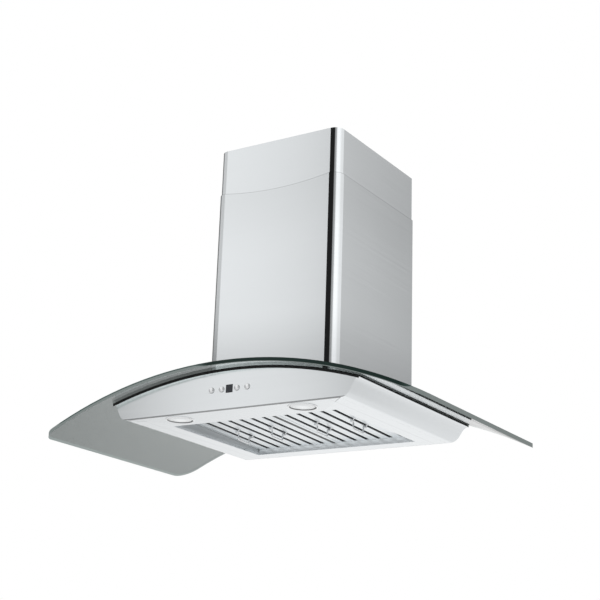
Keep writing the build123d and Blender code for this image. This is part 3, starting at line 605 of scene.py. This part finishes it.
@dataclass(frozen=True)
class PressKey(PlainMetal):
    """Polished metal of the four keys: dished faces with painted shade, and paler flanks."""

    marks_gloss: float = 0.1
    centres: Span = (0.0182, 0.0426)
    between: Span = (0.029, 0.031)
    level: float = -0.1485
    radius: float = 0.0058
    dish: float = 0.0002
    light: float = 1.1
    painted_light_from: Span = (0.8, 0.6)
    painted_lit_between: Span = (-0.6, 0.1)
    dark: float = 0.38
    face: Span = (0.93, 0.995)

    def from_axis(self, shader: Shader) -> tuple[Value, Value]:
        """How far a point is aside from its own key's axis and above it.

        Args:
            shader: The nodes to write.

        Returns:
            The two distances in metres.
        """
        across, _, height = shader.point()
        side = across.math("SIGN")
        outer = (across * side).ramp(*self.between)
        middle = self.centres[0] + outer * (self.centres[1] - self.centres[0])
        return across - middle * side, height - self.level

    def tone(self, shader: Shader) -> Value:
        """Painted light and shade: darker towards the lower left of the dish.

        Args:
            shader: The nodes to write.

        Returns:
            The factor on the colour.
        """
        aside, rise = self.from_axis(shader)
        # Painted light and shade across the dish, lit from the upper right.
        along = aside * self.painted_light_from[0] + rise * self.painted_light_from[1]
        lit = along.ramp(*(part * self.radius for part in self.painted_lit_between))
        return self.light - (1 - lit) * self.dark

    def relief(self, shader: Shader) -> dict[str, Input]:
        """The dish by bump, as the square of the distance, and flanks like white paint.

        Args:
            shader: The nodes to write.

        Returns:
            The inputs.
        """
        aside, rise = self.from_axis(shader)
        height = (aside * aside + rise * rise) / self.radius ** 2
        return {
            "Metallic": shader.facing()[1].size().ramp(*self.face),
            "Normal": shader.bump(height, self.dish, 1.0),
        }


LAMP_PLACE: Span = (0.147, -0.430)


def from_lamp(shader: Shader) -> tuple[Value, Value]:
    """Where a point of a light lies.

    Args:
        shader: The nodes to write.

    Returns:
        Its distance from the light's axis, and how far it is behind the axis.
    """
    across, back, _ = shader.point()
    behind = back - LAMP_PLACE[1]
    return (across.size() - LAMP_PLACE[0]).reach(behind), behind


@dataclass(frozen=True)
class LampRing(PlainMetal):
    """The bezel of a light, with painted shade in the groove about its lens."""

    marks_gloss: float = 0.1
    groove: Span = (0.0272, 0.0278)
    painted_groove_shade: float = 0.65

    def tone(self, shader: Shader) -> Value:
        """Painted shade within the groove's radius."""
        return 1 - (1 - from_lamp(shader)[0].ramp(*self.groove)) * self.painted_groove_shade


@dataclass(frozen=True)
class TemperedGlass(Finish):
    """Clear bent glass with a green cast and dark green polished edges.

    The dark part of an edge, the dark green of the glass itself, is the upper side of the
    sheet's thickness, measured inward from the bend's outer radius; below it the edge is
    painted light. The dark part is deep at the crown, and thin and paler, with painted light,
    towards the tips. Seen from inside the glass, the edges glow with painted light.
    """

    colour: Colour = (0.845, 0.925, 0.912)
    edge: Colour = (0.006, 0.024, 0.019)
    edge_tip: Colour = (0.085, 0.135, 0.125)
    # The next three colours are painted: light on the edges' lower side, and a glow inside.
    painted_light_edge: Colour = (0.31, 0.355, 0.345)
    inside: Colour = (0.50, 0.58, 0.56)
    painted_glow_tip: Colour = (0.27, 0.30, 0.295)
    radius: float = 0.97545
    centre_z: float = -1.07345
    dark_depth: Span = (0.0064, 0.0074)
    crown: Span = (-0.07, 0.43)
    crown_soft: float = 0.04
    tip_thins: float = 0.0042
    end: Span = (0.40, 0.44)
    end_thins: float = 0.006
    level_normal: Span = (0.55, 0.7)
    smear_scale: float = 9.0
    roughness: Span = (0.012, 0.02)
    index: float = 1.45
    edge_roughness: Span = (0.12, 0.1)
    edge_gloss: float = 0.2

    def clear(self, shader: Shader, smear: Value) -> bpy.types.NodeSocket:
        """The two broad faces.

        Args:
            shader: The nodes to write.
            smear: Faint smears, as noise.

        Returns:
            The shader output.
        """
        return shader.principled({
            "Base Color": self.colour,
            "Roughness": smear.scaled(*self.roughness),
            "Transmission Weight": 1.0,
            "IOR": self.index,
        })

    def ground(self, shader: Shader, smear: Value) -> bpy.types.NodeSocket:
        """The cut edges, a green that hides what is behind, with painted light and a painted
        glow.

        Args:
            shader: The nodes to write.
            smear: Faint smears, as noise.

        Returns:
            The shader output.
        """
        inner = Value(shader, shader.node("ShaderNodeNewGeometry").outputs["Backfacing"])
        across, _, height = shader.point()
        depth = self.radius - across.reach(height - self.centre_z)
        tip = 1 - across.window(*self.crown, self.crown_soft)
        end = across.size().ramp(*self.end)
        # Painted light: the edge is paler on the lower side of its thickness and towards the
        # tips.
        lower = (depth + tip * self.tip_thins + end * self.end_thins).ramp(*self.dark_depth)
        dark = shader.mix_colours(tip, self.edge, self.edge_tip)
        outside = shader.mix_colours(lower, dark, self.painted_light_edge)
        inside = shader.mix_colours(tip, self.inside, self.painted_glow_tip)
        return shader.principled({
            "Base Color": shader.tint(outside, 1 - inner),
            "Roughness": smear.scaled(*self.edge_roughness),
            "Specular IOR Level": self.edge_gloss,
            # Painted glow: seen from inside the glass, the edges give off light.
            "Emission Color": shader.tint(inside, inner),
            "Emission Strength": 1.0,
        })

    def surface(self, shader: Shader) -> bpy.types.NodeSocket:
        """Clear on the faces and ground on the edges, whose normals lie level.

        Args:
            shader: The nodes to write.

        Returns:
            The shader output.
        """
        smear = shader.noise((self.smear_scale,) * 3)
        rim = 1 - shader.facing()[2].size().ramp(*self.level_normal)
        return shader.mix_shaders(rim, self.clear(shader, smear), self.ground(shader, smear))


@dataclass(frozen=True)
class Moulded(Finish):
    """Moulded plastic or rubber, whose eroded grain breaks up the gloss and the height."""

    colour: Colour = (0.02, 0.02, 0.02)
    roughness: float = 0.5
    grain: float = 700.0
    depth: float = 0.00003
    gloss: float = 0.5
    grain_octaves: Span = (3.0, 0.55)
    grain_gloss: float = 0.2
    grain_bump: float = 0.4
    cloud: float = 20.0
    cloud_tone: Span = (0.9, 0.2)

    def surface(self, shader: Shader) -> bpy.types.NodeSocket:
        """Grained plastic with a faint cloud in its colour.

        Args:
            shader: The nodes to write.

        Returns:
            The shader output.
        """
        grain = shader.noise((self.grain,) * 3, *self.grain_octaves)
        cloud = shader.noise((self.cloud,) * 3)
        return shader.principled({
            "Base Color": shader.tint(self.colour, cloud.scaled(*self.cloud_tone)),
            "Roughness": self.roughness + (grain - 0.5) * self.grain_gloss,
            "Specular IOR Level": self.gloss,
            "Normal": shader.bump(grain, self.depth, self.grain_bump),
        })


@dataclass(frozen=True)
class FrostedLens(Finish):
    """The milky lens of a light, with a faintly darker ring and a faint painted glow, most at its
    middle.

    The rim and the ring are ranges of the distance from the axis, as parts of the radius.
    """

    colour: Colour = (0.90, 0.92, 0.93)
    radius: float = 0.02585
    rim: Span = (0.90, 0.95)
    painted_rim_shade: Span = (0.25, 0.5)
    rim_rear: Span = (-0.004, 0.012)
    ring: Span = (0.50, 0.66)
    ring_soft: float = 0.06
    ring_dark: float = 0.10
    glow: float = 0.10
    painted_glow_middle: float = 0.14
    glow_reach: float = 0.9
    frost: float = 1500.0
    frost_tone: Span = (0.97, 0.06)
    roughness: Span = (0.3, 0.15)
    coat: float = 0.3
    coat_roughness: float = 0.08

    def surface(self, shader: Shader) -> bpy.types.NodeSocket:
        """A fine frost on a bright body, with painted shade at its rim, most at the rear, a
        faintly darker ring and a painted glow.

        Args:
            shader: The nodes to write.

        Returns:
            The shader output.
        """
        distance, behind = from_lamp(shader)
        reach = distance / self.radius
        # Painted shade at the rim, most at the rear.
        rim = reach.ramp(*self.rim) * behind.ramp(*self.rim_rear).scaled(*self.painted_rim_shade)
        ring = reach.window(*self.ring, self.ring_soft)
        frost = shader.noise((self.frost,) * 3)
        level = frost.scaled(*self.frost_tone) * (1 - rim) * (1 - ring * self.ring_dark)
        # Painted glow, most at the middle.
        middle = (1 - reach.ramp(0.0, self.glow_reach)) * self.painted_glow_middle
        glow = middle + self.glow * (1 - rim)
        return shader.principled({
            "Base Color": shader.tint(self.colour, level),
            "Roughness": frost.scaled(*self.roughness),
            "Coat Weight": self.coat,
            "Coat Roughness": self.coat_roughness,
            "Emission Color": shader.tint(self.colour, glow),
            "Emission Strength": 1.0,
        })


STEEL_BODY = BodySteel("brushed_steel_body")
STEEL_CHIMNEY = ChimneySteel("brushed_steel_chimney")
STEEL_COVER = CoverSteel("brushed_steel_cover")
STEEL_UNDERSIDE = PanelSteel("brushed_steel_underside", grain=Grain.WIDTHWISE,
                             roughness=0.26)
STEEL_FILTER = FilterSteel("brushed_steel_filter", grain=Grain.DEPTHWISE, roughness=0.42,
                           stroke=0.04, haze=0.02)
ZINC_SHEET = GalvanisedSteel("galvanised_sheet")
ZINC_SCREW = PlainMetal("zinc_plated_screw", (0.62, 0.63, 0.62), 0.3)
WIRE = PlainMetal("drawn_steel_wire", (0.74, 0.75, 0.76), 0.16)
CHROME_RING = LampRing("polished_bezel", (0.80, 0.81, 0.82), 0.10)
KEY_METAL = PressKey("polished_key", (0.76, 0.77, 0.78), 0.12)
GLASS = TemperedGlass("tempered_glass")
RUBBER = Moulded("black_rubber", (0.008, 0.008, 0.008), 0.55, gloss=0.2)
BLACK_PLASTIC = Moulded("black_plastic", (0.03, 0.03, 0.033), 0.45)
WHITE_PLASTIC = Moulded("white_plastic", (0.78, 0.78, 0.75), 0.4)
ENAMEL = Moulded("dark_enamel", (0.045, 0.047, 0.05), 0.32, 300.0)
BOARD = Moulded("green_board", (0.02, 0.13, 0.05), 0.35, 250.0)
WINDOW = Moulded("dark_window", (0.006, 0.007, 0.008), 0.08, 900.0, 0.000002)
LENS = FrostedLens("frosted_lens")


# Meshes


Mesh = tuple[np.ndarray, list[tuple[int, ...]]]


def closed_sweep(grid: np.ndarray) -> Mesh:
    """Joins a grid of points into a closed tube with flat ends.

    Args:
        grid: Points by place along the path, place around the profile, and axis.

    Returns:
        The points and the faces.
    """
    rows, columns, _ = grid.shape
    row, column = np.meshgrid(np.arange(rows - 1), np.arange(columns), indexing="ij")
    after = (column + 1) % columns
    quads = np.stack([row * columns + column, (row + 1) * columns + column,
                      (row + 1) * columns + after, row * columns + after], axis=-1)
    faces = [tuple(quad) for quad in quads.reshape(-1, 4).tolist()]
    faces.append(tuple(range(columns)))
    faces.append(tuple(reversed(range((rows - 1) * columns, rows * columns))))
    return grid.reshape(-1, 3), faces


def new_piece(name: str, mesh: Mesh, finish: Finish) -> bpy.types.Object:
    """Makes a new piece with its faces outward.

    Args:
        name: The piece's name.
        mesh: Its points and faces.
        finish: Its finish.

    Returns:
        The object, at the origin.
    """
    points, faces = mesh
    data = bpy.data.meshes.new(name)
    data.from_pydata(points.tolist(), [], faces)
    shape = bmesh.new()
    shape.from_mesh(data)
    bmesh.ops.recalc_face_normals(shape, faces=shape.faces)
    shape.to_mesh(data)
    shape.free()
    data.materials.append(finish.material())
    data.polygons.foreach_set("use_smooth", [len(face) == 4 for face in faces])
    piece = bpy.data.objects.new(name, data)
    bpy.context.scene.collection.objects.link(piece)
    LOG.info("%s: %d faces", name, len(faces))
    return piece


# The parts of the hood


BODY = "hood"
SIDES = ("left", "right")


class Assembly:
    """A sub-assembly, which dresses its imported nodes."""

    def finishes(self) -> dict[str, Finish]:
        """The finish of each of its nodes."""
        raise NotImplementedError

    def build(self) -> None:
        """Dresses the nodes with their finishes."""
        nodes = self.finishes()
        for node, finish in nodes.items():
            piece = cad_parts[node]
            piece.data.materials.clear()
            piece.data.materials.append(finish.material())
        LOG.info("%s: %d nodes dressed", type(self).__name__, len(nodes))


@dataclass
class Canopy(Assembly):
    """The bent glass with its screws, washers, spacers and rubber strip."""

    half_width: float = 0.293
    front: float = -0.470
    body_radius: float = 0.96425
    centre_z: float = -1.07345
    bead_above: float = 0.0031
    bead_below: float = 0.0030
    bead_bulge: float = 0.0011
    bead_rows: int = 97
    bead_columns: int = 13

    def finishes(self) -> dict[str, Finish]:
        """The finish of each of its nodes."""
        return {"glass_canopy": GLASS, "rubber_strip": RUBBER, "glass_screws": ZINC_SCREW,
                "glass_top_washers": RUBBER, "glass_spacers": RUBBER, "glass_nuts": ZINC_SCREW}

    def build(self) -> None:
        """Dresses the nodes and adds the strip's bead along the body's front edge."""
        super().build()
        piece = new_piece("rubber_bead", self.bead(), RUBBER)
        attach(piece, BODY)

    def bead(self) -> Mesh:
        """A D-shaped bead along the arc of the body's top front edge.

        Along u the point swings about the bend's centre from one side of the body to the
        other. Around v the profile is half an ellipse: its height is the cosine of v
        between the strip's top and a little below the steel's edge, and its bulge in
        front of the panel is the sine of v. Its flat back closes it.

        Returns:
            The points and the faces.
        """
        turn = math.asin(self.half_width / self.body_radius)
        u = np.linspace(-turn, turn, self.bead_rows)[:, None]
        v = np.linspace(0.0, math.pi, self.bead_columns)[None, :]
        middle = self.body_radius + (self.bead_above - self.bead_below) / 2
        radius = middle + np.cos(v) * (self.bead_above + self.bead_below) / 2
        x = np.sin(u) * radius
        y = np.broadcast_to(self.front - np.sin(v) * self.bead_bulge, x.shape)
        z = self.centre_z + np.cos(u) * radius
        return closed_sweep(np.stack([x, y, z], axis=-1))


class Body(Assembly):
    """The steel body and its underside."""

    def finishes(self) -> dict[str, Finish]:
        """The finish of each of its nodes."""
        return {"body_shell": STEEL_BODY, "underside_panel": STEEL_UNDERSIDE}


class Filters(Assembly):
    """Both baffle filters with their bails."""

    def finishes(self) -> dict[str, Finish]:
        """The finish of each of its nodes.

        Returns:
            The finishes by node.
        """
        nodes: dict[str, Finish] = {}
        for side in SIDES:
            nodes[f"{side}_filter_frame"] = STEEL_FILTER
            nodes[f"{side}_filter_baffles"] = STEEL_FILTER
            nodes[f"{side}_filter_bail_saddles"] = WIRE
            for end in SIDES:
                nodes[f"{side}_filter_{end}_bail"] = WIRE
        return nodes


class Lights(Assembly):
    """Both round lights."""

    def finishes(self) -> dict[str, Finish]:
        """The finish of each of its nodes.

        Returns:
            The finishes by node.
        """
        nodes: dict[str, Finish] = {}
        for side in SIDES:
            nodes[f"{side}_lamp_housing"] = CHROME_RING
            nodes[f"{side}_lamp_lens"] = LENS
            nodes[f"{side}_lamp_board"] = WHITE_PLASTIC
        return nodes


class Controls(Assembly):
    """Keys, window and the board behind them."""

    def finishes(self) -> dict[str, Finish]:
        """The finish of each of its nodes."""
        return {"control_box": BLACK_PLASTIC, "control_board": BOARD,
                "key_switches": BLACK_PLASTIC, "display_window": WINDOW,
                "display_module": BLACK_PLASTIC, "power_button": KEY_METAL,
                "minus_button": KEY_METAL, "plus_button": KEY_METAL,
                "light_button": KEY_METAL}


class Blower(Assembly):
    """The chamber, the fan, the duct outlet and the wiring."""

    def finishes(self) -> dict[str, Finish]:
        """The finish of each of its nodes."""
        return {"back_plate": ZINC_SHEET, "blower_chamber": ZINC_SHEET,
                "chamber_screws": ZINC_SCREW, "scroll_housing": ZINC_SHEET,
                "inlet_rings": ZINC_SHEET, "impeller": ZINC_SHEET, "motor_shaft": WIRE,
                "shaft_nut": ZINC_SCREW, "motor": ENAMEL, "motor_bracket": ZINC_SHEET,
                "duct_collar": ZINC_SHEET, "damper_pin": WIRE,
                "damper_flap_left": ZINC_SHEET, "damper_flap_right": ZINC_SHEET,
                "wiring_box": BLACK_PLASTIC, "wiring_lid": BLACK_PLASTIC,
                "terminal_block": WHITE_PLASTIC, "cable_gland": BLACK_PLASTIC,
                "capacitor": WHITE_PLASTIC, "capacitor_clip": ZINC_SHEET}


class Chimney(Assembly):
    """The two chimney covers and the wall bracket."""

    def finishes(self) -> dict[str, Finish]:
        """The finish of each of its nodes."""
        return {"lower_chimney": STEEL_COVER, "upper_chimney": STEEL_CHIMNEY,
                "chimney_bracket": ZINC_SHEET, "bracket_screws": ZINC_SCREW}


# Light, floor and camera


@dataclass(frozen=True)
class Sector:
    """A range of bearings about the hood in degrees, and the light that it adds."""

    low: float
    high: float
    soft: float
    light: float = 1.0

    def at(self, turn: Value) -> Value:
        """The sector's light at a bearing."""
        return turn.window(self.low, self.high, self.soft) * self.light


@dataclass(frozen=True)
class Surround:
    """What steel and glass reflect, by bearing and height in degrees.

    Above the horizon stand a bright panel at the front left, whose foot differs a little
    from the rest, a dim flag beside it, and a white wall from the front right round to the
    back, which is darker from the right on and a little more so at the back left. Below
    the horizon lies the pale floor.
    """

    plain: float = 0.42
    panel: Sector = Sector(-131.5, -117.5, 5.0)
    panel_light: float = 0.56
    foot: Span = (13.5, 15.5)
    foot_light: float = 0.06
    foot_end: Span = (-131.5, -127.5)
    foot_dark: float = 0.14
    left_end: Span = (-129.5, -123.5)
    left_from: Span = (14.5, 18.0)
    left_light: float = 0.30
    flag: Sector = Sector(-119.0, -61.5, 2.5, 0.35)
    flag_top: Span = (25.0, 30.0)
    glint: Sector = Sector(-50.0, 6.0, 20.0, 0.06)
    wall: Span = (-48.0, -36.0)
    wall_light: float = 0.55
    right: Span = (50.0, 68.0)
    right_dark: float = 0.62
    corner: Sector = Sector(116.0, 174.0, 8.0, -0.06)
    floor: float = 0.92
    floor_right: Sector = Sector(0.0, 120.0, 40.0, -0.22)
    horizon: Span = (7.0, 12.0)
    ahead: Sector = Sector(-150.0, -30.0, 10.0)

    def light(self, shader: Shader) -> tuple[Value, Value]:
        """Writes the surround.

        Args:
            shader: The world's nodes.

        Returns:
            The brightness, and a mask of the half in front of the hood.
        """
        direction = shader.node("ShaderNodeTexCoord").outputs["Generated"]
        across, back, up = shader.parts(direction)
        turn = shader.bearing(across, back)
        rise = up.math("ARCSINE") * math.degrees(1)
        foot = 1 - rise.ramp(*self.foot)
        front = self.plain + self.panel.at(turn) * (self.panel_light + foot * self.foot_light)
        front = front - foot * (1 - turn.ramp(*self.foot_end)) * self.foot_dark
        left = (1 - turn.ramp(*self.left_end)) * self.left_light
        front = front + rise.ramp(*self.left_from) * left
        wall = turn.ramp(*self.wall) * self.wall_light + self.glint.at(turn)
        wall = wall - turn.ramp(*self.right) * self.right_dark + self.corner.at(turn)
        flag = self.flag.at(turn) * (1 - rise.ramp(*self.flag_top))
        upper = (front + wall) * (1 - flag)
        lower = self.floor + self.floor_right.at(turn)
        high = rise.ramp(*self.horizon)
        return upper * high + lower * (1 - high), self.ahead.at(turn)


@dataclass(frozen=True)
class Viewpoint:
    """Where the camera stands and how it is turned."""

    place: Point = (1.5519, -2.6659, -0.8080)
    yaw_deg: float = 35.04
    pitch_deg: float = -18.63
    roll_deg: float = 2.77
    focal_px: float = 1400.7
    centre_px: tuple[float, float] = (240.0, 270.0)
    image_px: float = 600.0
    sensor: float = 36.0

    def matrix(self) -> Matrix:
        """The camera's place and turn: right, up and back as its columns.

        Returns:
            The matrix.
        """
        yaw, pitch, roll = (math.radians(angle)
                            for angle in (self.yaw_deg, self.pitch_deg, self.roll_deg))
        back = Vector((math.sin(yaw) * math.cos(pitch), -math.cos(yaw) * math.cos(pitch),
                       math.sin(pitch)))
        level = Vector((math.cos(yaw), math.sin(yaw), 0.0))
        upright = back.cross(level)
        right = math.cos(roll) * level + math.sin(roll) * upright
        up = math.cos(roll) * upright - math.sin(roll) * level
        turn = Matrix((right, up, back)).transposed().to_4x4()
        return Matrix.Translation(self.place) @ turn


@dataclass
class Studio:
    """Pale floor, soft lamps, surround and camera."""

    floor_height: float = -1.45
    floor_size: float = 30.0
    floor_colour: Colour = (0.82, 0.82, 0.82)
    floor_lift: float = 0.12
    floor_level: float = 0.92
    floor_sectors: tuple[Sector, ...] = (
        Sector(88.0, 136.0, 14.0, 0.12),
        Sector(18.0, 64.0, 16.0, -0.2),
        Sector(132.0, 178.0, 14.0, -0.25),
    )
    lamp_aim: Point = (0.0, -0.2, 0.1)
    ambient: float = 0.55
    seen_through: float = 0.175

    def build(self) -> None:
        """Makes the world, the floor, the lamps and the camera."""
        self.make_world()
        self.make_floor()
        self.make_lamps()
        self.make_camera()
        LOG.info("studio ready")

    def make_world(self) -> None:
        """A white background with a dimmer surround for the light itself."""
        world = bpy.data.worlds.new("studio_world")
        bpy.context.scene.world = world
        world.use_nodes = True
        shader = Shader(world.node_tree)
        path = shader.node("ShaderNodeLightPath")
        camera = Value(shader, path.outputs["Is Camera Ray"])
        glossy = Value(shader, path.outputs["Is Glossy Ray"])
        through = Value(shader, path.outputs["Is Transmission Ray"])
        glossy = glossy * (1 - through)
        other = 1 - camera.math("MAXIMUM", glossy).math("MAXIMUM", through)
        reflected, ahead = Surround().light(shader)
        behind = self.seen_through + ahead * (reflected - self.seen_through)
        level = camera + glossy * reflected + through * behind + other * self.ambient
        sky = shader.node("ShaderNodeBackground", None, {"Color": WHITE, "Strength": level})
        shader.node("ShaderNodeOutputWorld", None, {"Surface": sky.outputs[0]})

    def make_floor(self) -> None:
        """A wide pale floor that keeps the object's shadow."""
        half = self.floor_size / 2
        mesh = bpy.data.meshes.new("floor")
        mesh.from_pydata([(-half, -half, 0), (half, -half, 0), (half, half, 0), (-half, half, 0)],
                         [], [(0, 1, 2, 3)])
        mesh.transform(Matrix.Translation((0, 0, self.floor_height)))
        floor = bpy.data.objects.new("floor", mesh)
        bpy.context.scene.collection.objects.link(floor)
        material = bpy.data.materials.new("pale_floor")
        material.use_nodes = True
        shader = Shader(material.node_tree)
        shader.node("ShaderNodeOutputMaterial", None, {"Surface": self.floor_surface(shader)})
        mesh.materials.append(material)

    def floor_surface(self, shader: Shader) -> bpy.types.NodeSocket:
        """Pale paint, and in reflections a plain glow that differs by bearing.

        Args:
            shader: The nodes to write.

        Returns:
            The shader output.
        """
        glossy = Value(shader, shader.node("ShaderNodeLightPath").outputs["Is Glossy Ray"])
        diffuse = shader.node("ShaderNodeBsdfDiffuse", None, {"Color": self.floor_colour})
        lift = shader.emission(WHITE, self.floor_lift)
        paint = shader.node("ShaderNodeAddShader", None, {0: diffuse.outputs[0], 1: lift})
        across, back, _ = shader.point()
        turn = shader.bearing(across, back)
        level = self.floor_level
        for sector in self.floor_sectors:
            level = level + sector.at(turn)
        glow = shader.emission(shader.tint(WHITE, level), 1.0)
        return shader.mix_shaders(glossy, paint.outputs[0], glow)

    def lamp(self, name: str, place: Point, side: float, radiance: float) -> None:
        """Adds a soft square lamp that faces the hood.

        Args:
            name: Name of the lamp.
            place: Its centre.
            side: Its width and height in metres.
            radiance: Its brightness, where 1 reflects as white.
        """
        data = bpy.data.lights.new(name, "AREA")
        data.shape = "RECTANGLE"
        data.size = data.size_y = side
        data.energy = radiance * math.pi * side * side
        lamp = bpy.data.objects.new(name, data)
        lamp.location = place
        lamp.rotation_mode = "QUATERNION"
        aim = Vector(self.lamp_aim) - Vector(place)
        lamp.rotation_quaternion = aim.to_track_quat("-Z", "Y")
        bpy.context.scene.collection.objects.link(lamp)

    def make_lamps(self) -> None:
        """A broad key from the left front, and a rim light from the back right."""
        self.lamp("key_light", place=(-1.2, -2.0, 3.4), side=2.4, radiance=1.6)
        self.lamp("rim_light", place=(1.6, 1.8, 3.0), side=1.6, radiance=0.9)

    @staticmethod
    def make_camera() -> None:
        """The camera at the photograph's viewing angle."""
        view = Viewpoint()
        data = bpy.data.cameras.new("camera")
        data.sensor_width = view.sensor
        data.lens = view.focal_px / view.image_px * view.sensor
        data.shift_x = (view.image_px / 2 - view.centre_px[0]) / view.image_px
        data.shift_y = (view.centre_px[1] - view.image_px / 2) / view.image_px
        camera = bpy.data.objects.new("camera", data)
        camera.matrix_world = view.matrix()
        bpy.context.scene.collection.objects.link(camera)
        bpy.context.scene.camera = camera


def main() -> None:
    """Builds every sub-assembly in order, then the studio."""
    bpy.context.scene.view_settings.view_transform = "Standard"
    for assembly in (Canopy(), Body(), Filters(), Lights(), Controls(), Blower(), Chimney()):
        assembly.build()
    Studio().build()


if __name__ == "__main__":
    logging.basicConfig(level=logging.INFO)
    main()
